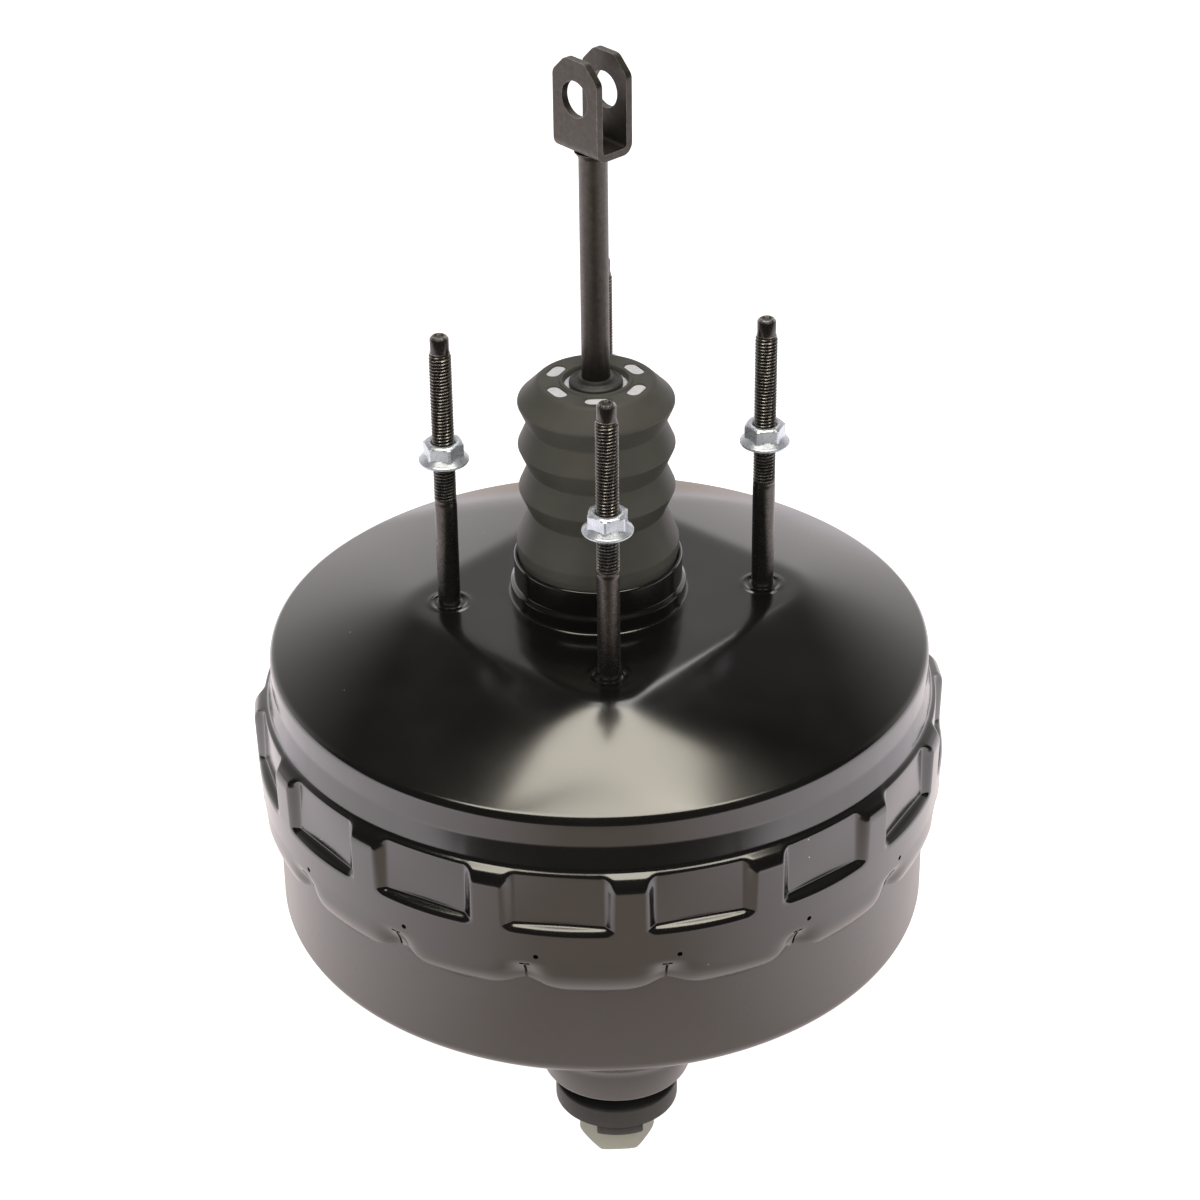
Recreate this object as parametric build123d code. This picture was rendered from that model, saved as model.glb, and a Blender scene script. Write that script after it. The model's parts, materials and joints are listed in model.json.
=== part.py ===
from build123d import *
import os
from math import cos, pi, radians, sin

# Tandem vacuum brake booster. Millimetres.
# +Z points to the brake pedal along the push rod, -Z to the master cylinder.
# z = 0 is the bulkhead mounting pad; the origin is the centre of the four studs.
# Every piece is built about the booster's own axis and moved by AXIS when it is written.

# ---- overall shell sizes ----
sheet = 1.5
stud_spacing_x = 84.2
stud_spacing_y = 77.4
axis_offset_y = 3.9
pad_margin = 15.0
shoulder_r = 120.3
shoulder_z = -19.2
shoulder_bend = 4.0
side_bottom_z = -31.2
rim_step = 7.7
rim_top_z = -43.2
rim_bottom_z = -61.7
skirt_step = 3.0
skirt_z = -84.0
lobe_z = -89.2
lobe_curl = 2.6
rim_r = shoulder_r + rim_step
skirt_r = rim_r - skirt_step
lobe_r = skirt_r - lobe_curl

# ---- locking pockets, slits and lobes of the rim ----
pocket_count = 16
pocket_first_deg = -144.8
pocket_depth = 6.6
pocket_top_depth = 3.6
pocket_width = 33.5
pocket_top_z = -37.6
pocket_corner = 2.5
pocket_face_r = rim_r - pocket_depth
slit_from_pocket_deg = -5.5
slit_top_z = -76.2
slit_foot_z = -82.2
slit_bar = 3.6
slit_width = 1.2
lobe_gap_width = 26.0
lance_from_slit_deg = 1.9
lance_z = -74.2
lance_r = 0.8

# ---- neck ----
neck_r = 30.5
neck_z = 16.2
neck_base_r = 31.9
neck_base_z = 5.2

# ---- front shell ----
shell_gap = 3.7
front_r = skirt_r - sheet - shell_gap
flange_z = -76.0
front_corner_z = -126.2
front_corner_bend = 5.0
front_face_r = 62.0
front_face_z = -142.0
cylinder_bore_r = 20.0
cylinder_bore_depth = 12.0
cylinder_floor_r = 13.0
cylinder_stud_spacing = 82.0
cylinder_stud_r = 5.0
cylinder_thread_r = 4.7
cylinder_shank_length = 4.0
cylinder_collar_r = 5.5
cylinder_stud_length = 26.0
cylinder_stud_head_r = 8.0
front_plate_sheet = 3.0

# ---- vacuum port ----
port_inset = 33.8
port_radius = front_r - port_inset
port_deg = -135.0
port_boss_r = 27.0
port_boss_z = -147.5
port_hole_r = 11.0
grommet_disc_r = 22.2
grommet_disc_top_z = -155.7
grommet_disc_z = -163.2
grommet_lug_width = 16.7
grommet_lug_drop = 3.2
grommet_lug_depth = 8.0
grommet_hole_r = 6.0
valve_body_across_flats = 25.0
valve_body_corner_r = 13.9
valve_body_z = -178.5
valve_cavity_r = 9.0
nipple_r = 5.5
nipple_bore_r = 3.4
nipple_reach = 36.0
nipple_taper = 3.0
nipple_collar_r = 6.6
nipple_collar_reach = 14.0
nipple_z = -171.0

# ---- studs and nuts ----
stud_r = 4.0
stud_thread_r = 3.75
stud_shank_top_z = 43.0
stud_collar_r = 4.5
stud_hole_gap = 0.05
stud_length = 107.2
stud_dog_r = 3.35
stud_dog_length = 6.0
stud_head_r = 7.0
stud_head_height = 3.5
stud_plate_sheet = 3.0
nut_z = 58.2
nut_across_flats = 13.0
nut_height = 8.0
nut_flange_r = 8.95
nut_flange_height = 1.6

# ---- power piston ----
tube_r = 20.5
tube_bore_r = 17.6
tube_top_z = 82.6
chamber_r = 14.0
chamber_top_z = 22.0
seat_z = 4.3
plunger_r = 7.0
plunger_step_z = -48.0
plunger_tip_z = -60.0
plunger_tip_r = 5.0
hub_flange_r = 36.0
hub_flange_z = -12.0
hub_r = 24.0
hub_front_z = -78.0
disc_pocket_r = 14.0
disc_pocket_z = -61.7
reaction_disc_thickness = 7.0
plate_sheet = 1.6
rear_roll_width = 24.3
rear_plate_r = shoulder_r - rear_roll_width
rear_plate_rim_z = -24.5
rear_plate_lip = 2.5
rear_roll_depth = 11.5
front_roll_width = 25.8
front_plate_r = front_r - front_roll_width
front_plate_z = -73.6
rubber = 1.4
travel = 1.5
key_z = -4.4
key_thickness = 2.4
key_width = 17.0
key_groove_r = 5.9
key_length = 26.5
poppet_z = 4.6
rod_r = 5.0
rod_neck_r = 3.8
ball_r = 5.0
ball_z = -16.0
socket_clearance = 0.1
rod_opening_r = 4.9
poppet_spring_r = 7.4
poppet_wire_r = 0.6
input_spring_r = 14.0
input_wire_r = 0.9
spring_collar_z = 46.0
silencer_low_z = 51.0
filter_low_z = 62.0
filter_top_z = 80.6
filter_bore_r = 7.2
output_rod_r = 5.5
output_tip_z = -129.6
return_spring_r = 30.0
return_wire_r = 1.9
return_spring_turns = 5

# ---- seals and running clearances ----
running = 0.05
gap = 0.3
neck_bearing_height = 6.0
neck_seal_height = 3.8
divider_z = -66.0
divider_lip = 9.0
divider_channel_inset = 6.3
divider_channel_r = shoulder_r - divider_channel_inset
divider_rim_z = -38.6

# ---- dust boot ----
boot_wall = 1.8
boot_bulge_r = 29.2
boot_bulge_z = 22.6
boot_peak_r = 27.9
boot_valley_r = 24.3
boot_first_valley_z = 35.1
boot_pitch = 17.1
boot_folds = 3
boot_top_r = 21.6
boot_top_z = 85.3
boot_hole_r = 11.4
boot_slot_count = 6
boot_slot_r = 16.0
boot_slot_first_deg = -136.0
collar_r = 9.5

# ---- clevis ----
clevis_yaw = -6.0
clevis_bottom_z = 172.3
clevis_height = 34.0
clevis_width = 23.0
clevis_pitch = 13.3
clevis_sheet = 2.6
clevis_chamfer = 6.0
pin_hole_r = 6.45
pin_z = 192.6

AXIS = Pos(0, axis_offset_y, 0)


def write(name, shape):
    """Write one node, moved from the booster's axis to the stud centre's frame."""
    os.makedirs("parts", exist_ok=True)
    export_step(AXIS * shape, f"parts/{name}.step")


def turned(*points):
    """Solid of revolution about Z from a closed outline of (radius, height) points."""
    return revolve(Plane.XZ * make_face(Polyline(*points, close=True)), Axis.Z)


def turned_round(points, radii):
    """The same with rounded corners; radii follow the points, 0 keeps a corner sharp."""
    face = make_face(Polyline(*points, close=True))
    for (x, y), radius in zip(points, radii):
        if radius > 0:
            corner = face.vertices().sort_by_distance((x, y, 0))[0]
            face = fillet(corner, radius)
    return revolve(Plane.XZ * face, Axis.Z)


def pressed(points, bends, thickness, side=Side.RIGHT):
    """Turned sheet part: an open (radius, height) line with bends, thickened to one side."""
    line = FilletPolyline(*points, radius=bends)
    return revolve(Plane.XZ * make_face(offset(line, amount=thickness, side=side)), Axis.Z)


def ring(inner, outer, low, high):
    return Pos(0, 0, low) * extrude(Circle(outer) - Circle(inner), high - low)


def disc(radius, low, high):
    return Pos(0, 0, low) * extrude(Circle(radius), high - low)


def around(shape, count, first_deg):
    return [Rot(0, 0, first_deg + 360.0 * k / count) * shape for k in range(count)]


def hexagon(across_flats):
    return RegularPolygon(radius=across_flats / 2, side_count=6, major_radius=False)


def coil(mean_r, wire_r, low, high, turns):
    """Round-wire compression spring between two heights."""
    rise = high - low - 2 * wire_r
    path = Pos(0, 0, low + wire_r) * Helix(pitch=rise / turns, height=rise, radius=mean_r)
    section = Plane(path @ 0, z_dir=path % 0) * RegularPolygon(radius=wire_r, side_count=8)
    return sweep(section, path=path, is_frenet=True)


# ---------------------------------------------------------------- rear shell
pad_x = stud_spacing_x + 2 * pad_margin
pad_y = stud_spacing_y + 2 * pad_margin
stud_y = -axis_offset_y


def rim_filled(inset):
    """Filled body of revolution below the dome, inset by a sheet thickness or by nothing."""
    top = shoulder_z - inset
    return turned(
        (0, lobe_z - inset),
        (lobe_r - 1.5 * inset, lobe_z - inset),
        (skirt_r - inset, skirt_z),
        (skirt_r - inset, rim_bottom_z - 6),
        (rim_r - 1 - inset, rim_bottom_z - 1),
        (rim_r - inset, rim_top_z - inset * 0.3),
        (shoulder_r + 1.5 - inset, side_bottom_z - 2 - inset * 0.5),
        (shoulder_r - inset, side_bottom_z),
        (shoulder_r - inset, top),
        (0, top),
    )


def dome_filled(inset):
    """Square-to-round dome from the mounting pad to the shoulder."""
    pad = RectangleRounded(pad_x - inset, pad_y - inset, pad_margin - inset / 2)
    circle_r = shoulder_r - inset
    base = RectangleRounded(2 * circle_r, 2 * circle_r, circle_r - 0.25)
    return loft([Pos(0, stud_y, -inset) * pad, Pos(0, 0, shoulder_z - inset) * base], ruled=True)


def shoulder_mask(inset):
    """Everything under a rounded shoulder, used to round the dome's edge."""
    slope_top_r = shoulder_r / 2
    points = [
        (0, lobe_z - 10),
        (shoulder_r + 20, lobe_z - 10),
        (shoulder_r + 20, side_bottom_z),
        (shoulder_r - inset, side_bottom_z),
        (shoulder_r - inset, shoulder_z - inset),
        (slope_top_r, shoulder_z - inset + (shoulder_r - slope_top_r) * 0.42),
        (slope_top_r, neck_z + 10),
        (0, neck_z + 10),
    ]
    bend = max(shoulder_bend - inset, 1.0)
    return turned_round(points, [0, 0, 0, 0, bend, 0, 0, 0])


def pocket_cutters(spread):
    """Radial blocks that press the locking pockets; spread makes room for the sheet."""
    low = rim_bottom_z - spread
    lean = (pocket_depth - pocket_top_depth) / (pocket_top_z - rim_bottom_z)
    top = side_bottom_z + spread
    face_r = pocket_face_r - spread
    block = extrude(Plane.XZ * make_face(Polyline(
        (face_r, low),
        (face_r + lean * (top - low), top),
        (rim_r + rim_step, top),
        (rim_r + rim_step, low),
        close=True,
    )), pocket_width / 2 + spread, both=True)
    foot = block.edges().filter_by(Axis.X).group_by(Axis.Z)[0]
    block = fillet(foot, pocket_corner + spread)
    return around(block, pocket_count, pocket_first_deg)


def slit_cutters():
    """T slits, the gaps between the crimped lobes, and the small lances beside the slits."""
    reach = 16.0
    bar = Box(reach, slit_bar, slit_width)
    leg = Box(reach, slit_width, slit_top_z - slit_foot_z + 4)
    gap_face = make_face(Polyline(
        (-lobe_gap_width / 2, lobe_z - 4),
        (-lobe_gap_width / 2, lobe_z),
        (-slit_width, slit_foot_z),
        (slit_width, slit_foot_z),
        (lobe_gap_width / 2, lobe_z),
        (lobe_gap_width / 2, lobe_z - 4),
        close=True,
    ))
    outward = Plane(origin=(skirt_r - reach / 2, 0, 0), x_dir=(0, 1, 0), z_dir=(1, 0, 0))
    lobe_gap = extrude(outward * gap_face, reach)
    lance = Rot(0, 0, lance_from_slit_deg) * Pos(skirt_r, 0, lance_z) * Rot(0, 90, 0) \
        * Cylinder(lance_r, reach)
    slit = Pos(skirt_r, 0, slit_top_z) * bar
    slit += Pos(skirt_r, 0, (slit_top_z + slit_foot_z) / 2 - 2) * leg
    slit += lobe_gap
    first = pocket_first_deg + slit_from_pocket_deg
    return around(slit, pocket_count, first) + around(lance, pocket_count, first)


def rear_shell():
    outer = rim_filled(0) + dome_filled(0)
    outer = outer & shoulder_mask(0)
    outer = outer - pocket_cutters(0)
    inner = rim_filled(sheet) + dome_filled(sheet)
    inner = inner & shoulder_mask(sheet)
    inner = inner - pocket_cutters(sheet)
    neck = turned_round(
        [(0, -sheet), (neck_base_r + 3, -sheet), (neck_base_r + 3, 0), (neck_base_r, 0.8),
         (neck_base_r, neck_base_z), (neck_r, neck_base_z + 1.2), (neck_r, neck_z), (0, neck_z)],
        [0, 0, 0, 0.6, 0.8, 0, 2.0, 0],
    )
    shell = outer + neck - inner
    shell -= disc(neck_r - sheet, -30, neck_z + 5)
    shell -= slit_cutters()
    return shell - stud_holes()


def stud_places():
    half_x = stud_spacing_x / 2
    half_y = stud_spacing_y / 2
    return [(x, y + stud_y) for x in (-half_x, half_x) for y in (-half_y, half_y)]


def stud_holes():
    hole = disc(stud_collar_r + stud_hole_gap, -2 * (sheet + stud_plate_sheet), sheet)
    return [Pos(x, y, 0) * hole for x, y in stud_places()]


def stud_plate():
    """Reinforcement under the mounting pad that carries the stud heads."""
    outline = RectangleRounded(pad_x - 12, pad_y - 12, pad_margin - 6)
    plate = Pos(0, stud_y, -sheet - stud_plate_sheet) * extrude(outline, stud_plate_sheet)
    plate -= disc(neck_base_r + 1, -20, 5)
    return plate - stud_holes()


def mounting_studs():
    head_z = -sheet - stud_plate_sheet
    stud = disc(stud_head_r, head_z - stud_head_height, head_z)
    stud += disc(stud_collar_r, head_z, 0)
    stud += disc(stud_r, 0, stud_shank_top_z)
    stud += disc(stud_thread_r, stud_shank_top_z, stud_length - stud_dog_length)
    dog = disc(stud_dog_r, stud_length - stud_dog_length, stud_length)
    stud += chamfer(dog.edges().group_by(Axis.Z)[-1], 1.0)
    return Compound([Pos(x, y, 0) * stud for x, y in stud_places()])


def flange_nuts():
    body = extrude(hexagon(nut_across_flats), nut_height)
    corner_r = nut_across_flats / 2 / cos(pi / 6)
    crown = turned((0, 0), (corner_r + 1, 0), (corner_r + 1, nut_height - 2.2),
                   (corner_r - 1.1, nut_height), (0, nut_height))
    flange = turned((0, 0), (nut_flange_r, 0), (nut_flange_r, nut_flange_height * 0.6),
                    (nut_across_flats / 2, nut_flange_height * 2), (0, nut_flange_height * 2))
    nut = (body & crown) + flange - Cylinder(stud_thread_r, 4 * nut_height)
    return Compound([Pos(x, y, nut_z) * nut for x, y in stud_places()])


# ---------------------------------------------------------------- front shell
port_x = port_radius * cos(radians(port_deg))
port_y = port_radius * sin(radians(port_deg))
PORT = Pos(port_x, port_y, 0) * Rot(0, 0, port_deg)


def front_filled(inset):
    face_z = front_face_z + inset
    bore = cylinder_bore_r + inset
    floor_z = front_face_z + cylinder_bore_depth + (sheet if inset else 0)
    points = [
        (0, flange_z + 5 * inset),
        (front_r - inset, flange_z + 5 * inset),
        (front_r - inset, front_corner_z + inset * 0.8),
        (front_face_r, face_z),
        (bore, face_z),
        (bore, floor_z),
        (0, floor_z),
    ]
    bend = front_corner_bend - inset
    return turned_round(points, [0, 0, bend, 3, 0, 0, 0])


def port_tower(inset):
    top_z = front_corner_z + 4
    tower = disc(port_boss_r - inset, port_boss_z + inset, top_z)
    return PORT * fillet(tower.edges().group_by(Axis.Z)[0], 2.2 - inset * 0.6)


def front_shell():
    outer = front_filled(0) + port_tower(0)
    inner = front_filled(sheet) + port_tower(sheet)
    flange = ring(front_r - sheet, skirt_r - sheet - 0.4, flange_z - sheet, flange_z)
    shell = outer - inner + flange
    shell -= disc(cylinder_floor_r, front_face_z, 0)
    shell -= PORT * disc(port_hole_r, port_boss_z - 5, port_boss_z + 5)
    return shell - cylinder_stud_holes()


def cylinder_stud_holes():
    hole = Pos(0, 0, front_face_z) * Cylinder(cylinder_collar_r + stud_hole_gap, 12)
    half = cylinder_stud_spacing / 2
    return [Pos(x, 0, 0) * hole for x in (-half, half)]


def front_reinforcement():
    z = front_face_z + sheet
    inner = cylinder_bore_r + sheet + gap
    plate = turned((inner, z), (front_face_r - 6, z), (front_face_r - 6, z + front_plate_sheet),
                   (inner, z + front_plate_sheet))
    return plate - cylinder_stud_holes()


def master_cylinder_studs():
    head_z = front_face_z + sheet + front_plate_sheet
    shank_end = front_face_z - cylinder_shank_length
    stud = disc(cylinder_stud_head_r, head_z, head_z + 4)
    stud += disc(cylinder_collar_r, front_face_z, head_z)
    stud += disc(cylinder_stud_r, shank_end, front_face_z)
    thread = disc(cylinder_thread_r, front_face_z - cylinder_stud_length, shank_end)
    stud += chamfer(thread.edges().group_by(Axis.Z)[0], 1.0)
    half = cylinder_stud_spacing / 2
    return Compound([Pos(x, 0, 0) * stud for x in (-half, half)])


# ---------------------------------------------------------------- vacuum port
def valve_grommet():
    thin_z = port_boss_z - 2.2
    body = turned(
        (grommet_hole_r, grommet_disc_z),
        (grommet_disc_r, grommet_disc_z),
        (grommet_disc_r, grommet_disc_top_z),
        (port_hole_r + 4, grommet_disc_top_z),
        (port_hole_r + 4, thin_z),
        (port_hole_r + 10, thin_z),
        (port_hole_r + 10, port_boss_z),
        (port_hole_r, port_boss_z),
        (port_hole_r, port_boss_z + sheet),
        (port_hole_r + 3, port_boss_z + sheet),
        (port_hole_r, port_boss_z + sheet + 5),
        (grommet_hole_r, port_boss_z + sheet + 5),
    )
    lug = Box(grommet_lug_depth, grommet_lug_width, grommet_lug_drop)
    lug = Pos(grommet_disc_r - grommet_lug_depth / 2, 0, grommet_disc_z - grommet_lug_drop / 2) * lug
    lug = lug & disc(grommet_disc_r, grommet_disc_z - grommet_lug_drop, grommet_disc_z)
    lug -= disc(valve_body_corner_r + gap, grommet_disc_z - 2 * grommet_lug_drop, grommet_disc_z)
    return PORT * (body + lug)


def check_valve_body():
    """Moulded body with a stem through the grommet and a side nipple for the hose."""
    flats = Rot(0, 0, 30) * hexagon(valve_body_across_flats)
    outer = Pos(0, 0, valve_body_z) * extrude(flats, grommet_disc_z - valve_body_z)
    outer = outer & turned(
        (0, valve_body_z), (valve_body_corner_r - 3.2, valve_body_z),
        (valve_body_corner_r, valve_body_z + 4.5), (valve_body_corner_r, grommet_disc_z),
        (0, grommet_disc_z))
    stem_top = port_boss_z + sheet + 5
    stem = turned((0, grommet_disc_z), (grommet_hole_r, grommet_disc_z),
                  (grommet_hole_r, stem_top), (grommet_hole_r + 1.6, stem_top),
                  (grommet_hole_r - 0.6, stem_top + 4), (0, stem_top + 4))
    inward = Pos(0, 0, nipple_z) * Rot(0, -90, 0)
    nipple = inward * turned(
        (0, 0), (nipple_collar_r, 0), (nipple_collar_r, nipple_collar_reach),
        (nipple_r, nipple_collar_reach), (nipple_r, nipple_reach - nipple_taper),
        (nipple_r - 1, nipple_reach), (0, nipple_reach))
    body = outer + stem + nipple
    body -= disc(valve_cavity_r, valve_body_z, grommet_disc_z - 2.0)
    body -= disc(3.4, grommet_disc_z - 4, stem_top + 6)
    body -= inward * disc(nipple_bore_r, 5, nipple_reach + 1)
    return PORT * body


def check_valve_cap():
    cap = disc(valve_cavity_r, valve_body_z, valve_body_z + 2.0)
    cap += ring(3.2, 4.6, valve_body_z + 2.0, valve_body_z + 3.6)
    return PORT * cap


def check_valve_disc():
    top = grommet_disc_z - 2.0 - 0.05
    return PORT * (disc(6.8, top - 1.6, top) + disc(2.6, top - 3.4, top - 1.6))


def check_valve_spring():
    top = grommet_disc_z - 2.0 - 0.05 - 1.6
    return PORT * coil(4.0, 0.4, valve_body_z + 3.7, top - 0.05, 4)


# ---------------------------------------------------------------- chamber parts
def divider_plate():
    wall_r = pocket_face_r - sheet - gap
    points = [
        (hub_r + divider_lip, divider_z + 6),
        (hub_r + divider_lip, divider_z),
        (divider_channel_r, divider_z),
        (divider_channel_r, divider_rim_z),
        (wall_r, divider_rim_z),
        (wall_r, rim_bottom_z - sheet - gap),
        (skirt_r - sheet - 0.4, rim_bottom_z - sheet - gap),
    ]
    return pressed(points, [2.5, 4.0, 2.0, 2.0, 0.3], sheet)


def divider_seal():
    """Lip seal moulded over the divider's turned-up edge, running on the hub."""
    inner = hub_r + running
    edge = hub_r + divider_lip - sheet - running
    return turned((inner, divider_z - 1), (edge, divider_z - 1), (edge, divider_z + 6),
                  (edge - 3, divider_z + 7.5), (inner + 2.5, divider_z + 7.5), (inner, divider_z + 4))


def rear_diaphragm():
    bead_z = divider_rim_z + 0.2
    plate_top = rear_plate_rim_z + 0.1
    roll_z = plate_top - rear_roll_depth
    points = [
        (hub_r + 1.0, hub_flange_z - 6.0),
        (hub_r + 14, hub_flange_z - 6.0),
        (rear_plate_r - 2, plate_top),
        (rear_plate_r + 6, roll_z),
        (divider_channel_r - 2.6, roll_z),
        (divider_channel_r + 1.5, bead_z + rubber),
        (shoulder_r - sheet - 2.6, bead_z + rubber),
    ]
    sheet_rubber = pressed(points, [3, 3, 3.6, 3.6, 2], rubber)
    bead = ring(shoulder_r - sheet - 3.2, shoulder_r - sheet + 0.4, bead_z, bead_z + 4.2)
    return sheet_rubber + bead


def rear_plate():
    low = hub_flange_z - 6.0 - rubber - 0.05
    points = [
        (hub_r + running, low),
        (hub_r + 14, low),
        (rear_plate_r - 3.6, rear_plate_rim_z - rubber),
        (rear_plate_r - 1.6, rear_plate_rim_z - rubber - rear_plate_lip),
    ]
    return pressed(points, [3, 0.8], plate_sheet)


def front_diaphragm():
    bead_top = rim_bottom_z - 2 * sheet - gap - 0.1
    points = [
        (hub_r + running, front_plate_z + rubber + 0.05),
        (front_plate_r, front_plate_z + rubber + 0.05),
        (front_plate_r + 6, front_plate_z - 9),
        (front_r - sheet - 8, front_plate_z - 9),
        (front_r - sheet - 3.0, flange_z + 3.0 + rubber),
        (front_r + 0.4, flange_z + 3.0 + rubber),
    ]
    sheet_rubber = pressed(points, [3, 3.6, 3.6, 1.6], rubber)
    bead = ring(front_r - 1.0, skirt_r - sheet - 0.4, flange_z, bead_top)
    return sheet_rubber + bead


def front_plate():
    points = [
        (hub_r + running, front_plate_z),
        (front_plate_r - 1.4, front_plate_z),
        (front_plate_r + 1.0, front_plate_z - 9),
    ]
    return pressed(points, [2.4], plate_sheet)


# ---------------------------------------------------------------- power piston
def valve_body():
    """Moulded body: rear tube, valve chamber, flange for the rear plate, and front hub."""
    back = hub_flange_z - 6
    outer = turned_round(
        [(0, hub_front_z), (hub_r, hub_front_z), (hub_r, back), (hub_flange_r, back),
         (hub_flange_r, hub_flange_z), (tube_r, hub_flange_z + 6), (tube_r, tube_top_z),
         (0, tube_top_z)],
        [0, 0.8, 0, 1, 1.5, 2, 0.8, 0])
    step = plunger_step_z - travel - 0.5
    recess = seat_z - 1.2
    bore = turned(
        (0, disc_pocket_z), (plunger_tip_r + running, disc_pocket_z),
        (plunger_tip_r + running, step), (plunger_r + running, step),
        (plunger_r + running, recess), (plunger_r + 1.6, recess), (chamber_r - 3, seat_z),
        (chamber_r - 2.2, seat_z), (chamber_r, recess), (chamber_r, chamber_top_z),
        (tube_bore_r, chamber_top_z), (tube_bore_r, tube_top_z + 1), (0, tube_top_z + 1))
    pocket = disc(disc_pocket_r, hub_front_z, disc_pocket_z)
    slot_z = key_z + (key_thickness - travel) / 2
    key_slot = Pos(0, 0, slot_z) * Box(2 * key_length + 10, key_width + 0.4,
                                       key_thickness + travel + 0.4)
    passage_r = (hub_r + disc_pocket_r) / 2 - 1
    height = recess - hub_front_z
    passage = Pos(passage_r, 0, recess - height / 2) * Box(3.0, 6.0, height)
    passage += Pos(passage_r - 2.5, 0, recess - 1.5) * Box(5.0, 6.0, 3.0 + 2 * 0.4)
    return outer - bore - pocket - key_slot - around(passage, 4, 45)


def valve_plunger():
    low = key_z - running
    high = key_z + key_thickness + running
    body = turned(
        (0, plunger_tip_z), (plunger_tip_r, plunger_tip_z), (plunger_tip_r, plunger_step_z),
        (plunger_r, plunger_step_z), (plunger_r, low), (key_groove_r, low),
        (key_groove_r, high), (plunger_r, high), (plunger_r, seat_z), (rod_opening_r, seat_z),
        (rod_opening_r, ball_z), (0, ball_z))
    return body - Pos(0, 0, ball_z) * Sphere(ball_r + socket_clearance)


def plunger_key():
    """Forked plate in the plunger's groove; its ends stop against the neck bearing."""
    groove_r = key_groove_r + running
    plate = disc(key_length, key_z, key_z + key_thickness)
    plate = plate & Box(2 * key_length, key_width, 4 * abs(key_z))
    mouth = Pos(key_length, 0, key_z) * Box(2 * key_length, 2 * groove_r, 4 * key_thickness)
    return plate - disc(groove_r, key_z - 1, 0) - mouth


def reaction_disc():
    top = disc_pocket_z - running
    return disc(disc_pocket_r - running, top - reaction_disc_thickness, top)


def output_rod():
    top = disc_pocket_z - 2 * running - reaction_disc_thickness
    head = disc(disc_pocket_r - 2 * running, top - 4.5, top)
    return head + disc(output_rod_r, output_tip_z + 3.0, top)


def output_rod_tip():
    """Adjusting screw in the end of the output rod, with a domed nose."""
    nose = turned_round([(0, output_tip_z), (output_rod_r - 1, output_tip_z),
                         (output_rod_r - 1, output_tip_z + 3.0), (0, output_tip_z + 3.0)],
                        [0, 2.0, 0, 0])
    return nose


def output_rod_retainer():
    inner = output_rod_r + 1.0
    plate = ring(inner, hub_r - 0.5, hub_front_z - 1.2, hub_front_z)
    sleeve = ring(disc_pocket_r - 1.6, disc_pocket_r - 0.4, hub_front_z,
                  hub_front_z + 3.6)
    return plate + sleeve


def poppet_valve():
    """Rubber poppet: face ring, bellows wall and the flange held by its retainer."""
    flange_z = chamber_top_z + running
    return turned(
        (6.0, poppet_z), (13.0, poppet_z), (13.0, poppet_z + 2), (10.8, poppet_z + 2.4),
        (10.8, flange_z - 3), (12.6, flange_z), (tube_bore_r - running, flange_z),
        (tube_bore_r - running, flange_z + 2), (11.4, flange_z + 2), (9.2, flange_z - 2),
        (9.2, poppet_z + 2.2), (6.0, poppet_z + 2))


def poppet_retainer():
    z = chamber_top_z + 2 * running + 2
    outer = tube_bore_r - running
    return turned((11.6, z), (outer, z), (outer, z + 6), (outer - 1.2, z + 6),
                  (outer - 1.2, z + 1.2), (11.6, z + 1.2))


def poppet_spring():
    return coil(poppet_spring_r, poppet_wire_r, poppet_z + 2.2 + running, spring_collar_z - 1 - running, 6)


def input_return_spring():
    low = chamber_top_z + 3 * running + 3.2
    return coil(input_spring_r, input_wire_r, low, spring_collar_z - 1 - running, 4)


def spring_collar():
    """Seat for both valve springs, staked on the push rod."""
    z = spring_collar_z - 1
    return turned((rod_r, z), (15.8, z), (15.8, z + 1.4), (rod_r + 2, z + 1.4),
                  (rod_r + 2, z + 4), (rod_r, z + 4))


def silencer():
    return ring(filter_bore_r + 0.3, tube_bore_r - running, silencer_low_z, filter_low_z - gap)


def air_filter():
    return ring(filter_bore_r, tube_bore_r - running, filter_low_z, filter_top_z)


def return_spring():
    low = front_face_z + sheet + front_plate_sheet + running
    high = front_plate_z - plate_sheet - running
    return coil(return_spring_r, return_wire_r, low, high, return_spring_turns)


# ---------------------------------------------------------------- seals
def neck_bearing():
    low = -sheet
    return ring(tube_r + running, neck_r - sheet, low, low + neck_bearing_height)


def neck_seal():
    low = -sheet + neck_bearing_height + running
    high = low + neck_seal_height
    outer = neck_r - sheet
    inner = tube_r + running
    return turned((inner, low), (outer, low), (outer, high), (outer - 3, high),
                  (outer - 4, low + 1.6), (inner + 2, low + 1.6), (inner + 1.2, high - 0.6),
                  (inner, high - 0.6))


def front_seal():
    floor = front_face_z + cylinder_bore_depth + sheet + running
    inner = output_rod_r + running
    return turned((inner, floor), (cylinder_bore_r, floor), (cylinder_bore_r, floor + 6),
                  (inner + 5, floor + 6), (inner + 3, floor + 2.5), (inner, floor + 5))


def front_seal_retainer():
    floor = front_face_z + cylinder_bore_depth + sheet
    top = floor + 6.2
    inner = cylinder_bore_r + sheet + 0.1
    return turned((inner - 9, top), (inner, top), (inner, floor - 4.0), (inner + 1.2, floor - 4.0),
                  (inner + 1.2, top + 1.2), (inner - 9, top + 1.2))


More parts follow.
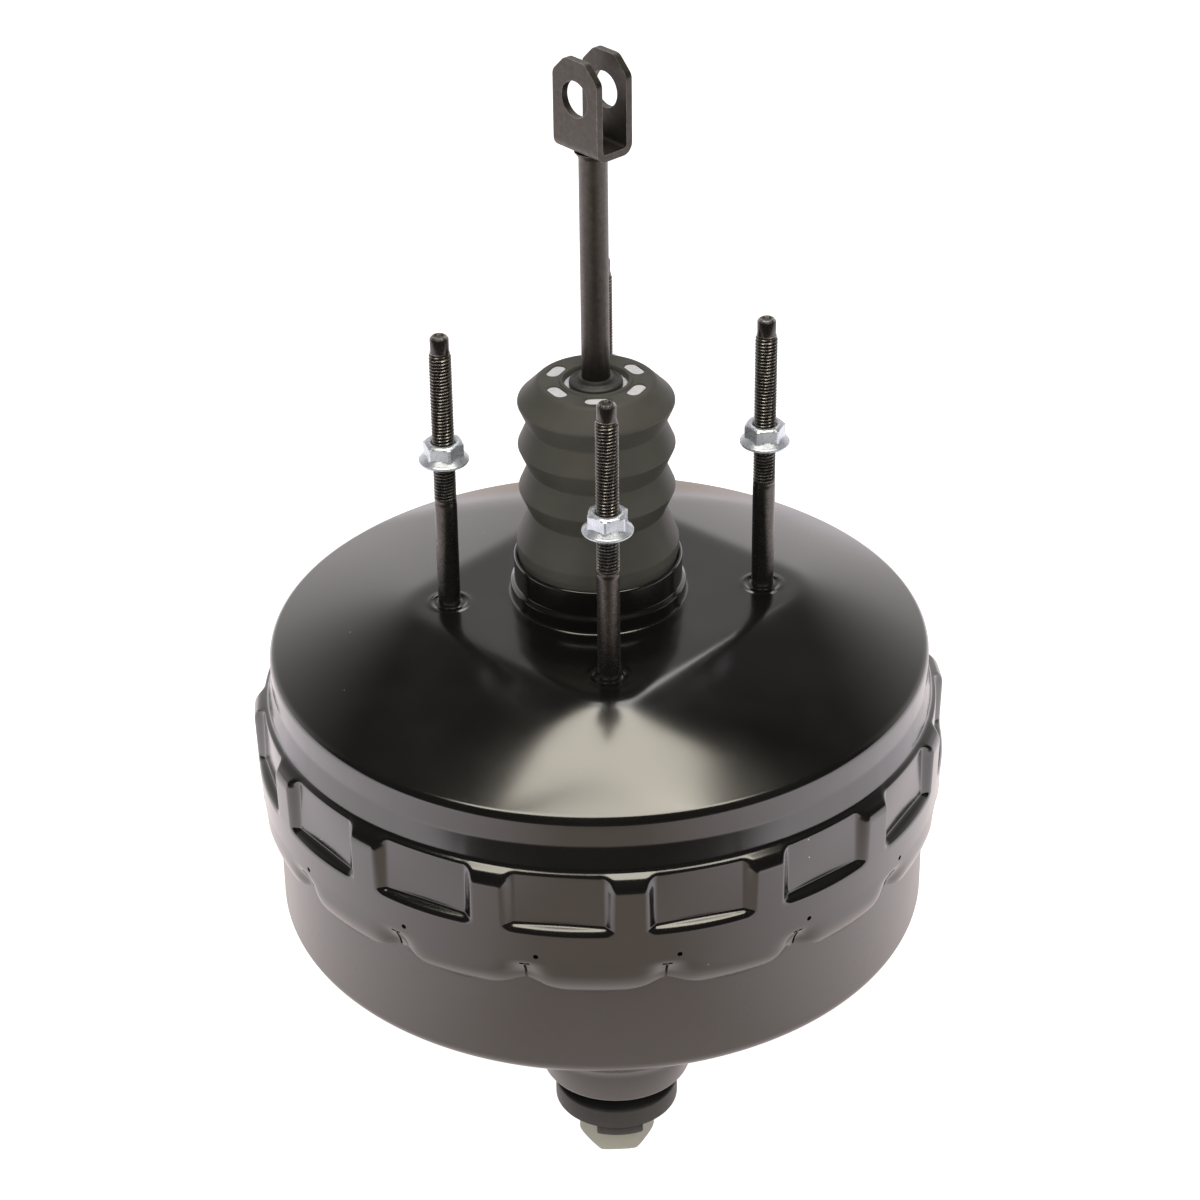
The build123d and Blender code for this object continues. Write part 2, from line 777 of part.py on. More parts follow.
# ---------------------------------------------------------------- input side
def input_rod():
    """Push rod: ball, slim neck, shank, weld fillet and the peened end in the clevis."""
    low = clevis_bottom_z
    inside = low + clevis_sheet
    shank = turned(
        (0, ball_z), (rod_neck_r, ball_z), (rod_neck_r, 30.0), (rod_r, 32.0),
        (rod_r, low - 2.2), (rod_r + 1.5, low - 0.6), (rod_r + 1.5, low), (rod_r - 1, low),
        (rod_r - 1, inside), (rod_r - 1.6, inside + 1.4), (0, inside + 2.0))
    return shank + Pos(0, 0, ball_z) * Sphere(ball_r)


def clevis():
    """Strap bent to a fork, with chamfered ears and the pedal pin's holes."""
    out_x = (clevis_pitch + clevis_sheet) / 2
    in_x = out_x - clevis_sheet
    top = clevis_bottom_z + clevis_height
    inside = clevis_bottom_z + clevis_sheet
    strap = Polyline((-out_x, top), (-out_x, clevis_bottom_z), (out_x, clevis_bottom_z),
                     (out_x, top), (in_x, top), (in_x, inside), (-in_x, inside), (-in_x, top),
                     close=True)
    face = make_face(strap)
    low = face.vertices().group_by(Axis.Y)[0]
    face = fillet(low, clevis_sheet + 1.4)
    inner = face.vertices().filter_by(lambda v: abs(v.Y - inside) < 0.01)
    face = fillet(inner, 1.2)
    fork = extrude(Plane.XZ * face, clevis_width / 2, both=True)
    half = clevis_width / 2
    ear = make_face(Polyline(
        (-half, clevis_bottom_z), (half, clevis_bottom_z), (half, top - clevis_chamfer),
        (half - clevis_chamfer, top), (clevis_chamfer - half, top),
        (-half, top - clevis_chamfer), close=True))
    upper = ear.vertices().filter_by(lambda v: v.Y > clevis_bottom_z + 1)
    ear = fillet(upper, 2.5)
    fork = fork & extrude(Plane.YZ * ear, 2 * out_x, both=True)
    fork -= Pos(0, 0, pin_z) * Rot(0, 90, 0) * Cylinder(pin_hole_r, 4 * out_x)
    fork -= Pos(0, 0, clevis_bottom_z) * Cylinder(rod_r - 1, 4 * clevis_sheet)
    return Rot(0, 0, clevis_yaw) * fork


def rod_collar():
    """Rubber collar on the rod that floats in the boot's top opening."""
    low = tube_top_z + gap
    return turned((rod_r, low), (collar_r, low), (collar_r, low + 2.2), (collar_r - 1.2, low + 3.2),
                  (rod_r + 1.6, low + 3.2), (rod_r + 1.2, low + 4.4), (rod_r, low + 4.4))


def dust_boot():
    """Bellows from the neck to the valve body's end, with vent slots in its top."""
    points = [(neck_r - sheet - 0.3, -sheet + neck_bearing_height + neck_seal_height + 0.2),
              (boot_bulge_r, boot_bulge_z)]
    bends = [2.5]
    for fold in range(boot_folds):
        valley_z = boot_first_valley_z + fold * boot_pitch
        points += [(boot_valley_r, valley_z), (boot_peak_r, valley_z + boot_pitch / 2)]
        bends += [1.6, 2.4]
    points += [(boot_top_r, boot_top_z), (boot_hole_r, boot_top_z)]
    bends += [2.6]
    bellows = pressed(points, bends, boot_wall, Side.LEFT)
    under = boot_top_z - boot_wall
    bellows += ring(tube_r + 0.1, tube_r + 0.1 + boot_wall, under - 6, under + 0.5)
    slot = Pos(boot_slot_r, 0, under - 1) * extrude(SlotOverall(7.6, 4.4, rotation=90), boot_wall + 2)
    return bellows - around(slot, boot_slot_count, boot_slot_first_deg)


NODES = [
    rear_shell, front_shell, divider_plate, stud_plate, mounting_studs, flange_nuts,
    front_reinforcement, master_cylinder_studs, rear_diaphragm, rear_plate, front_diaphragm,
    front_plate, valve_body, valve_plunger, plunger_key, reaction_disc, output_rod,
    output_rod_tip, output_rod_retainer, poppet_valve, poppet_retainer, poppet_spring,
    input_return_spring, spring_collar, silencer, air_filter, return_spring, neck_bearing,
    neck_seal, divider_seal, front_seal, front_seal_retainer, input_rod, clevis, rod_collar,
    dust_boot, valve_grommet, check_valve_body, check_valve_cap, check_valve_disc,
    check_valve_spring,
]

for make in NODES:
    write(make.__name__, make())
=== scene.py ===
import json
from math import asin, ceil, cos, pi, radians, sin, tan

import bmesh
import bpy
import numpy as np
from mathutils import Matrix, Vector


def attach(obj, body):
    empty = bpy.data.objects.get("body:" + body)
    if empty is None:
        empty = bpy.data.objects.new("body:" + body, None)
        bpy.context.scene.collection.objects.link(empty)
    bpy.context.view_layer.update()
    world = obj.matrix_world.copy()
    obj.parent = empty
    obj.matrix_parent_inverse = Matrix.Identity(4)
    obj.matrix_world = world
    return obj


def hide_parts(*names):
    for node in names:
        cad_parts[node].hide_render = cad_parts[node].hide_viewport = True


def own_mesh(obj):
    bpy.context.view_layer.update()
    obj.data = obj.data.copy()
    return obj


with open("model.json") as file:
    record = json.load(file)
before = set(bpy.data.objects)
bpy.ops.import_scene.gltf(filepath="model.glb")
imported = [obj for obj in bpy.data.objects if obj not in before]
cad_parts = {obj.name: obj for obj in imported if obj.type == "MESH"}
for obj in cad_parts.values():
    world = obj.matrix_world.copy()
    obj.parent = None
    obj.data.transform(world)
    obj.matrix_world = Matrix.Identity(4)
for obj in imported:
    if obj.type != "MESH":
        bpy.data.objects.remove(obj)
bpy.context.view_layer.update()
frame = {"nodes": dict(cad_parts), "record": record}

# Sizes are in millimetres about the booster's own axis, as in the CAD, and angles in degrees.
MM = 0.001
AXIS_Y = 3.9
AXIS = np.array([0.0, AXIS_Y, 0.0])

# Rear shell: neck, pad, dome, shoulder and the step out to the rim
SHEET = 1.5
NECK_R, NECK_Z, NECK_BASE_R, NECK_BASE_Z, NECK_FOOT = 30.5, 16.2, 31.9, 5.2, 3.0
STUD_X, STUD_Y = 42.1, 38.7
STUD_PLACES = [np.array([x, y, 0]) for x in (-STUD_X, STUD_X) for y in (-STUD_Y, STUD_Y)]
STUD_RINGS = [(0.45, 5.2, 0.7), (-0.25, 7.0, 0.9)]
PAD_CORNER, DOME_REACH, DOME_GRID, DOME_BLUR, DOME_CROWN = 15.0, 132.0, 0.75, 2.6, 0.22
SHOULDER_R, SHOULDER_Z, SHOULDER_BEND = 120.9, -19.2, 3.4
STEP_RUN = [0, 1.5, 9.0, 10.8, 12.8, 19.3]
STEP_TILT = [0, 11, 11, 64, 64, 0]

# Rim with its pressed pockets, and the skirt with its slits and curled lobes
RIM_R, RIM_TOP_Z, RIM_BOTTOM_Z = 128.0, -45.2, -61.7
RIM_LOW_R, SKIRT_R, SKIRT_TOP_Z, SKIRT_Z = 127.6, 127.0, -74.0, -79.0
POCKETS, POCKET_FIRST = 16, -144.8
POCKET_TOP_R, POCKET_TOP_Z = 124.4, -37.6
POCKET_LOW_R, POCKET_LOW_Z = 124.0, -59.8
POCKET_WIDTH, POCKET_DRAFT, POCKET_BEND = 36.0, 2.3, 0.8
POCKET_CORNER, POCKET_CORNER_LOW, POCKET_CORNER_HIGH = 3.4, 5.0, 4.0
LEDGE_BEND, LEDGE_ROOT, LEDGE_DEG = 2.6, 0.6, 68.0
LOBE_R, LOBE_Z, LOBE_GAP, LOBE_FLAT, LOBE_POWER = 123.4, -89.2, 50.0, 1.2, 1.2
DIMPLE_DEPTH, DIMPLE_WIDTH, DIMPLE_HEIGHT = 3.0, 6.0, 8.0
SLIT_OFFSET, SLIT_TOP_Z, SLIT_FOOT_Z = -5.5, -76.4, -84.4
SLIT_BAR, SLIT_BAR_HALF, SLIT_WIDTH = 3.6, 0.45, 0.9
LANCE_OFFSET, LANCE_Z, LANCE_R = 1.9, -72.4, 0.95
TOOL_REACH = 6.0

# Front shell and the boss for the vacuum valve
FRONT_R, FRONT_CORNER_Z, FACE_R, FACE_Z, FRONT_BEND = 121.4, -127.6, 62.0, -142.0, 6.0
FRONT_TOP_Z, FLANGE_R, FLANGE_TOP_Z, FLANGE_Z = -72.0, 123.1, -76.0, -77.5
BORE_R, BORE_FLOOR_Z, BORE_HOLE_R = 20.0, -130.0, 13.0
PORT_RADIUS, PORT_DEG = 86.0, -135.0
PORT = np.array([PORT_RADIUS * cos(radians(PORT_DEG)),
                 PORT_RADIUS * sin(radians(PORT_DEG)) + AXIS_Y, 0])
BOSS_R, BOSS_Z, BOSS_BEND, BOSS_FLARE, BOSS_HOLE_R = 27.0, -147.5, 2.2, 5.6, 13.0

# Studs and nuts
STUD_R, STUD_FOOT, STUD_TOP, THREAD_LOW, PITCH = 4.0, -4.5, 107.2, 43.0, 1.25
DOG_R, DOG_LENGTH = 3.35, 6.0
THREAD_DEPTH, THREAD_FILL = 0.65, 0.85
CYLINDER_STUD_X, CYLINDER_STUD_FOOT = 41.0, 137.5
NUT_Z, NUT_FLAT, NUT_HEIGHT, NUT_FLANGE_R, NUT_BORE_R = 58.2, 6.5, 8.0, 8.95, 4.05
NUT_TURNS = (4, 31, -12, 17)

# Boot, felt, push rod and clevis
BOOT_TOP_Z, BOOT_WALL, BOOT_HOLE_R, BOOT_LIP = 85.3, 1.8, 11.4, 0.6
BOOT_FOLDS, BOOT_VALLEY_R, BOOT_RIDGE_R, BOOT_VALLEY_Z, BOOT_PITCH = 3, 24.5, 28.2, 35.1, 17.1
BOOT_SLOT_R, BOOT_SLOTS, BOOT_SLOT_FIRST = 16.0, 6, -136.0
SLOT_HALF, SLOT_END_R = 2.2, 2.5
FELT_BORE_R, FELT_R, FELT_LOW, FELT_TOP, FELT_SWELL_LOW = 7.3, 17.5, 62.0, 83.2, 82.4
ROD_R, ROD_THIN_R, BALL_R, BALL_Z, COLLAR_Z = 5.0, 3.8, 5.0, -16.0, 82.9
CLEVIS_LOW, CLEVIS_HIGH, CLEVIS_YAW = 172.3, 206.3, -6.0
CLEVIS_WIDTH, CLEVIS_OUT, CLEVIS_SHEET, CLEVIS_EAR = 22.0, 7.95, 2.6, 6.0
PIN_R, PIN_Z = 6.45, 192.6

# Vacuum valve and its grommet
DISC_R, DISC_TOP_Z, DISC_Z = 22.2, -155.0, -163.2
LUG_WIDTH, LUG_DROP, LUG_ROOT_R = 16.7, 3.2, 14.6
VALVE_FLAT, VALVE_R, VALVE_Z, VALVE_BEND, VALVE_POWER = 12.6, 14.3, -183.0, 3.6, 14.0
STEM_R, STEM_TOP_Z, NIPPLE_Z = 5.95, BOSS_Z + 6.5, -171.0

# Diaphragms
PLATE_R, FOLD_DEPTH, RUBBER = 94.0, 8.5, 1.4


# ---------------------------------------------------------------- mesh helpers
def smoothstep(low, high, value):
    """Soft rise from 0 at low to 1 at high."""
    t = np.clip((value - low) / (high - low), 0, 1)
    return t * t * (3 - 2 * t)


def rounded(points, radii, step=14):
    """Points of a closed outline with its corners turned into arcs."""
    made = []
    count = len(points)
    for k in range(count):
        before, here, after = (np.array(points[(k + d) % count], float) for d in (-1, 0, 1))
        radius = radii[k]
        a, b = before - here, after - here
        la, lb = np.linalg.norm(a), np.linalg.norm(b)
        if radius <= 0 or la < 1e-6 or lb < 1e-6:
            made.append(here)
            continue
        a, b = a / la, b / lb
        half = np.arccos(np.clip(a @ b, -1, 1)) / 2
        if half > pi / 2 - 0.02:
            made.append(here)
            continue
        reach = min(radius / tan(half), 0.49 * la, 0.49 * lb)
        radius = reach * tan(half)
        middle = (a + b) / np.linalg.norm(a + b)
        centre = here + middle * radius / sin(half)
        start, end = here + a * reach - centre, here + b * reach - centre
        turn = pi - 2 * half
        steps = max(2, ceil(np.degrees(turn) / step))
        for i in range(steps + 1):
            t = i / steps
            arc = (start * sin((1 - t) * turn) + end * sin(t * turn)) / sin(turn)
            made.append(centre + arc)
    return np.array(made)


def filled_in(outline, spacing, closed=False):
    """The same line with extra points, so that no run is longer than the spacing."""
    outline = np.asarray(outline, float)
    ends = np.roll(outline, -1, axis=0) if closed else outline[1:]
    made = []
    for a, b in zip(outline, ends):
        steps = max(1, ceil(np.linalg.norm(b - a) / spacing))
        made += [a + (b - a) * i / steps for i in range(steps)]
    if not closed:
        made.append(outline[-1])
    return np.array(made)


def grid_faces(rows, columns, closed):
    """Quads of a grid that closes round its columns, and round its rows too if asked."""
    last = rows if closed else rows - 1
    i, j = np.meshgrid(np.arange(last), np.arange(columns), indexing="ij")
    a = i * columns + j
    b = i * columns + (j + 1) % columns
    c = ((i + 1) % rows) * columns + (j + 1) % columns
    d = ((i + 1) % rows) * columns + j
    return np.stack([a, b, c, d], -1).reshape(-1, 4)


def column_angles(columns):
    return np.arange(columns) * 2 * pi / columns


def lathe_rows(line, columns):
    """Radius and height, as rows by columns, of a line that is the same all round."""
    line = np.asarray(line, float)
    return np.repeat(line[:, :1], columns, 1), np.repeat(line[:, 1:], columns, 1)


def level_rows(columns, *pairs):
    """List of rows, each at one radius and height."""
    return [(np.full(columns, radius), np.full(columns, height)) for radius, height in pairs]


def stacked(rows):
    """Radius and height, as rows by columns, from a list of rows."""
    return (np.array([row[k] for row in rows]) for k in (0, 1))


def hexagon_radius(angle, flat):
    """Distance to the side of a hexagon that is twice the flat across."""
    return flat / np.cos((angle + pi / 6) % (pi / 3) - pi / 6)


def arc(radius, angles, height=0):
    """Points on an arc about (0, height)."""
    return [(radius * cos(a), height + radius * sin(a)) for a in angles]


def build(name, points, faces, sharp=32):
    """Mesh object from points in millimetres, with its faces turned outward."""
    mesh = bpy.data.meshes.new(name)
    mesh.from_pydata((np.asarray(points) * MM).tolist(), [], [tuple(f) for f in faces])
    mesh.validate()
    work = bmesh.new()
    work.from_mesh(mesh)
    bmesh.ops.remove_doubles(work, verts=work.verts, dist=1e-6)
    bmesh.ops.recalc_face_normals(work, faces=work.faces)
    work.to_mesh(mesh)
    work.free()
    obj = bpy.data.objects.new(name, mesh)
    bpy.context.scene.collection.objects.link(obj)
    settle(obj, sharp)
    return obj


def settle(obj, sharp=32):
    """Applies the modifiers and smooths the shading below an edge angle."""
    graph = bpy.context.evaluated_depsgraph_get()
    graph.update()
    mesh = bpy.data.meshes.new_from_object(obj.evaluated_get(graph))
    obj.modifiers.clear()
    obj.data = mesh
    mesh.shade_smooth()
    mesh.set_sharp_from_angle(angle=radians(sharp))


def turned(name, outline, columns=128, centre=AXIS, sharp=32):
    """Solid of revolution about a vertical axis from a closed (radius, height) outline."""
    radius, height = lathe_rows(outline, columns)
    return polar(name, radius, height, column_angles(columns), centre, True, sharp)


def polar(name, radius, height, angle, centre=AXIS, closed=True, sharp=32):
    """Mesh about a vertical axis from radius and height as rows by columns."""
    x, y = radius * np.cos(angle), radius * np.sin(angle)
    points = np.stack([x, y, height + 0 * x], -1).reshape(-1, 3) + centre
    return build(name, points, grid_faces(len(radius), radius.shape[1], closed), sharp)


def prism(name, outline, low, high, place):
    """Straight prism on a closed outline, along local Z, then moved by a 4x4 matrix."""
    outline = np.asarray(outline, float)
    count = len(outline)
    points = np.vstack([np.column_stack([outline, np.full(count, z)]) for z in (low, high)])
    points = points @ np.array(place.to_3x3()).T + np.array(place.translation)
    sides = [(k, (k + 1) % count, count + (k + 1) % count, count + k) for k in range(count)]
    faces = [tuple(range(count))[::-1], tuple(range(count, 2 * count))] + sides
    return build(name, points, faces)


def joined(name, pieces, sharp=32):
    """One mesh object from several; the pieces are used up."""
    points, faces, offset = [], [], 0
    for piece in pieces:
        co = np.array([v.co for v in piece.data.vertices]).reshape(-1, 3) / MM
        points.append(co)
        faces += [tuple(offset + v for v in p.vertices) for p in piece.data.polygons]
        offset += len(co)
        bpy.data.objects.remove(piece)
    return build(name, np.vstack(points), faces, sharp)


def cut(obj, cutters, operation="DIFFERENCE", sharp=32):
    """Boolean with the joined cutters, applied at once."""
    tool = joined("cutter", cutters) if len(cutters) > 1 else cutters[0]
    step = obj.modifiers.new("cut", "BOOLEAN")
    step.operation = operation
    step.solver = "MANIFOLD"
    step.object = tool
    settle(obj, sharp)
    bpy.data.objects.remove(tool)
    return obj


def softened(obj, width, segments=2, limit=30, sharp=50):
    """Small bevel on the sharp edges."""
    step = obj.modifiers.new("soft", "BEVEL")
    step.width = width * MM
    step.segments = segments
    step.limit_method = "ANGLE"
    step.angle_limit = radians(limit)
    settle(obj, sharp)
    return obj


def finish_piece(obj, body, slot_name, *replaced, material=None):
    """Gives a piece the material of its slot, puts it on its body and hides the nodes that it
    stands for.
    """
    obj.data.materials.clear()
    obj.data.materials.append(material or MATERIALS[slot_name])
    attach(obj, body)
    if replaced:
        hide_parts(*replaced)
    return obj


# ---------------------------------------------------------------- materials
def node_material(name):
    material = bpy.data.materials.new(name)
    material.use_nodes = True
    tree = material.node_tree
    shader = tree.nodes["Principled BSDF"]
    where = tree.nodes.new("ShaderNodeTexCoord").outputs["Object"]
    return material, tree, shader, where


def feed(tree, socket, value):
    """Links a source to a socket, or sets a plain value there."""
    if isinstance(value, bpy.types.NodeSocket):
        tree.links.new(value, socket)
    else:
        socket.default_value = value


def add_node(tree, kind, **values):
    """New node with its inputs fed by name, an underscore standing for a space."""
    made = tree.nodes.new("ShaderNode" + kind)
    for name, value in values.items():
        feed(tree, made.inputs[name.replace("_", " ")], value)
    return made


def calculated(tree, operation, *values, kind="Math", output=0):
    """Result of a maths node."""
    made = tree.nodes.new("ShaderNode" + kind)
    made.operation = operation
    for socket, value in zip(made.inputs, values):
        feed(tree, socket, value)
    return made.outputs[output]


def dot_product(tree, a, b):
    return calculated(tree, "DOT_PRODUCT", a, b, kind="VectorMath", output="Value")


def noise(tree, where, scale, detail=3.0, roughness=0.55):
    made = add_node(tree, "TexNoise", Vector=where, Scale=scale, Detail=detail,
                    Roughness=roughness)
    return made.outputs["Fac"]


def spread(tree, source, low, high, start=0.3, end=0.7):
    """Maps the source between start and end to values from low to high."""
    made = add_node(tree, "MapRange", Value=source, From_Min=start, From_Max=end, To_Min=low,
                    To_Max=high)
    return made.outputs["Result"]


def blend_colours(tree, factor, a, b):
    """Colour that goes from a to b with the factor; each is a tuple or a source."""
    made = tree.nodes.new("ShaderNodeMix")
    made.data_type = "RGBA"
    for socket, value in ((made.inputs[6], a), (made.inputs[7], b)):
        feed(tree, socket, (*value, 1) if isinstance(value, tuple) else value)
    tree.links.new(factor, made.inputs[0])
    return made.outputs[2]


def bumped(tree, shader, source, strength, distance):
    made = add_node(tree, "Bump", Strength=strength, Distance=distance * MM, Height=source)
    tree.links.new(made.outputs["Normal"], shader.inputs["Normal"])


def plain_surface(name, dark, light, rough, metallic=0.0, patch=60, grain=900, bump=0.15,
                  bump_mm=0.05, rough_spread=0.05, specular=0.5):
    """Colour and roughness that vary in soft patches, with a fine grain in the normal."""
    material, tree, shader, where = node_material(name)
    patches = noise(tree, where, patch)
    colour = blend_colours(tree, spread(tree, patches, 0, 1), dark, light)
    tree.links.new(colour, shader.inputs["Base Color"])
    fine = noise(tree, where, grain, 4.0)
    rough_range = spread(tree, fine, rough - rough_spread, rough + rough_spread)
    tree.links.new(rough_range, shader.inputs["Roughness"])
    shader.inputs["Metallic"].default_value = metallic
    shader.inputs["Specular IOR Level"].default_value = specular
    bumped(tree, shader, fine, bump, bump_mm)
    return material


def paint(name, dark, light, rough, specks=True, grain=2600, bump=0.12):
    """Black shell paint: orange peel, cloudy gloss and a few pale dust specks."""
    material, tree, shader, where = node_material(name)
    cloud = noise(tree, where, 24, 2.0)
    colour = blend_colours(tree, spread(tree, cloud, 0, 1), dark, light)
    if specks:
        cells = add_node(tree, "TexVoronoi", Vector=where, Scale=62)
        dot = spread(tree, cells.outputs["Distance"], 1, 0, 0.014, 0.022)
        colour = blend_colours(tree, dot, colour, (0.55, 0.54, 0.52))
    tree.links.new(colour, shader.inputs["Base Color"])
    tree.links.new(spread(tree, cloud, rough - 0.02, rough + 0.03), shader.inputs["Roughness"])
    shader.inputs["Specular IOR Level"].default_value = 0.95
    bumped(tree, shader, noise(tree, where, grain, 2.0), bump, 0.02)
    return material


def painted_highlight_steel(name, dark, light, rough, metallic, edge, hammered=0.3, threads=False):
    """Dark treated steel with painted highlights: its edges, or the crests of its threads, are
    painted light.
    """
    material, tree, shader, where = node_material(name)
    patches = noise(tree, where, 420, 5.0, 0.65)
    colour = blend_colours(tree, spread(tree, patches, 0, 1), dark, light)
    geometry = tree.nodes.new("ShaderNodeNewGeometry")
    # Painted highlight mask: the thread crests by pointiness, or the edges where the bevelled
    # normal turns away from the true one
    if threads:
        highlight_mask = spread(tree, geometry.outputs["Pointiness"], 0, 1, 0.52, 0.57)
    else:
        bevel = add_node(tree, "Bevel", Radius=0.4 * MM)
        bevel.samples = 4
        facing = dot_product(tree, bevel.outputs["Normal"], geometry.outputs["Normal"])
        highlight_mask = spread(tree, facing, 1, 0, 0.85, 0.98)
    mottle = spread(tree, noise(tree, where, 800, 3.0), 0.2, 1.0)
    # The painted highlight colour, broken up by the mottle, goes on the crests or edges
    colour = blend_colours(tree, calculated(tree, "MULTIPLY", highlight_mask, mottle), colour, edge)
    tree.links.new(colour, shader.inputs["Base Color"])
    fine = noise(tree, where, 1300, 3.0)
    tree.links.new(spread(tree, fine, rough - 0.07, rough + 0.09), shader.inputs["Roughness"])
    shader.inputs["Metallic"].default_value = metallic
    bumped(tree, shader, patches, hammered, 0.12)
    return material


# Dark colour, light colour, roughness and, where they differ, the further values in order
PLAIN_SURFACES = {
    "inner_steel": ((0.30, 0.30, 0.31), (0.45, 0.45, 0.46), 0.35, 1.0),
    "nut_zinc": ((0.50, 0.54, 0.59), (0.66, 0.70, 0.74), 0.30, 0.60, 300, 1500, 0.25, 0.05, 0.06),
    "rubber_black": ((0.020, 0.020, 0.019), (0.034, 0.033, 0.030), 0.50),
    "boot_rubber": ((0.082, 0.079, 0.067), (0.104, 0.100, 0.085), 0.44, 0.0, 45, 1400, 0.10,
                    0.04, 0.04, 0.10),
    "phenolic": ((0.03, 0.026, 0.022), (0.06, 0.052, 0.045), 0.45),
    "bearing_nylon": ((0.62, 0.61, 0.56), (0.74, 0.73, 0.68), 0.45),
    "valve_steel": ((0.40, 0.40, 0.42), (0.58, 0.58, 0.60), 0.28, 1.0),
    "spring_steel": ((0.20, 0.20, 0.21), (0.34, 0.34, 0.35), 0.35, 1.0),
    "felt": ((0.88, 0.87, 0.89), (0.97, 0.96, 0.98), 0.9, 0.0, 500, 2600, 0.6, 0.3),
    "foam": ((0.10, 0.10, 0.11), (0.22, 0.22, 0.23), 0.9, 0.0, 700, 1600, 0.8, 0.4),
    "nylon_cream": ((0.42, 0.41, 0.335), (0.50, 0.49, 0.41), 0.48, 0.0, 60, 1300, 0.08, 0.04,
                    0.04),
}
MATERIALS = {name: plain_surface(name, *values) for name, values in PLAIN_SURFACES.items()}
MATERIALS["shell_black"] = paint("shell_black", (0.006, 0.0055, 0.005), (0.010, 0.009, 0.008),
                                 0.16)
# Stud steel and the rod's phosphate steel get painted highlights on their thread crests and edges
MATERIALS["stud_steel"] = painted_highlight_steel("stud_steel", (0.055, 0.050, 0.045), (0.088, 0.079, 0.070), 0.27,
                               0.85, (0.52, 0.50, 0.47), 0.04, True)
MATERIALS["rod_phosphate"] = painted_highlight_steel("rod_phosphate", (0.056, 0.050, 0.042),
                                  (0.080, 0.072, 0.062), 0.40, 0.80, (0.34, 0.32, 0.29), 0.22)
FRONT_PAINT = paint("front_shell_paint", (0.026, 0.0225, 0.021), (0.033, 0.029, 0.0275), 0.28,
                    False, 3200, 0.2)


# ---------------------------------------------------------------- rear shell
def dome_height():
    """Height of the square-to-round dome as a smoothed map over x and y."""
    line = np.arange(-DOME_REACH, DOME_REACH + DOME_GRID, DOME_GRID)
    x, y = np.meshgrid(line, line, indexing="ij")
    low, high = np.zeros_like(x), np.full_like(x, 1.4)
    for _ in range(30):
        t = (low + high) / 2
        dx = np.maximum(np.abs(x) - (1 - t) * STUD_X, 0)
        dy = np.maximum(np.abs(y + (1 - t) * AXIS_Y) - (1 - t) * STUD_Y, 0)
        outside = np.hypot(dx, dy) > PAD_CORNER + t * (SHOULDER_R - PAD_CORNER)
        low, high = np.where(outside, t, low), np.where(outside, high, t)
    height = SHOULDER_Z * t * (1 - DOME_CROWN + DOME_CROWN * t)
    blur = DOME_BLUR / DOME_GRID
    taps = np.arange(-ceil(3 * blur), ceil(3 * blur) + 1)
    kernel = np.exp(-0.5 * (taps / blur) ** 2)
    kernel /= kernel.sum()
    for axis in (0, 1):
        padding = [(len(taps) // 2,) * 2 if a == axis else (0, 0) for a in (0, 1)]
        padded = np.pad(height, padding, mode="edge")
        height = np.apply_along_axis(lambda v: np.convolve(v, kernel, "valid"), axis, padded)

    def sample(px, py):
        u, v = (px + DOME_REACH) / DOME_GRID, (py + DOME_REACH) / DOME_GRID
        i, j = np.floor(u).astype(int), np.floor(v).astype(int)
        fu, fv = u - i, v - j
        return ((1 - fu) * (1 - fv) * height[i, j] + fu * (1 - fv) * height[i + 1, j]
                + (1 - fu) * fv * height[i, j + 1] + fu * fv * height[i + 1, j + 1])

    return sample


def rim_angles():
    """Angles of the columns, closer together at the sides of each pocket."""
    period = 2 * pi / POCKETS
    edge = asin(POCKET_WIDTH / 2 / RIM_R)
    fine = np.linspace(-3.2, 3.2, 15) / RIM_R
    inside = np.linspace(-edge + 3.8 / RIM_R, edge - 3.8 / RIM_R, 25)
    land = np.linspace(edge + 4.0 / RIM_R, period - edge - 4.0 / RIM_R, 7)
    local = np.sort(np.concatenate([-edge + fine, inside, edge + fine, land]))
    first = radians(POCKET_FIRST)
    return np.concatenate([first + k * period + local for k in range(POCKETS)])


def stud_dimples(x, y):
    """Shallow pressed rings round each stud's foot, a groove and a low ridge."""
    sink = 0
    for place in STUD_PLACES:
        away = np.hypot(x - place[0], y + AXIS_Y - place[1])
        for depth, radius, width in STUD_RINGS:
            sink = sink + depth * np.exp(-((away - radius) / width) ** 2)
    return sink


def neck_line():
    """Neck and its foot, from inside the sheet up, over the top and down to the pad."""
    wall_r, foot_r = NECK_R - SHEET, NECK_BASE_R + NECK_FOOT
    points = [(wall_r, -SHEET), (wall_r, NECK_Z), (NECK_R, NECK_Z), (NECK_R, NECK_BASE_Z + 1.2),
              (NECK_BASE_R, NECK_BASE_Z), (NECK_BASE_R, 0), (foot_r, 0), (foot_r, -SHEET)]
    return rounded(points, [0, 0.74, 0.74, 0.9, 0.9, 1.1, 0, 0], 15)[:-1]


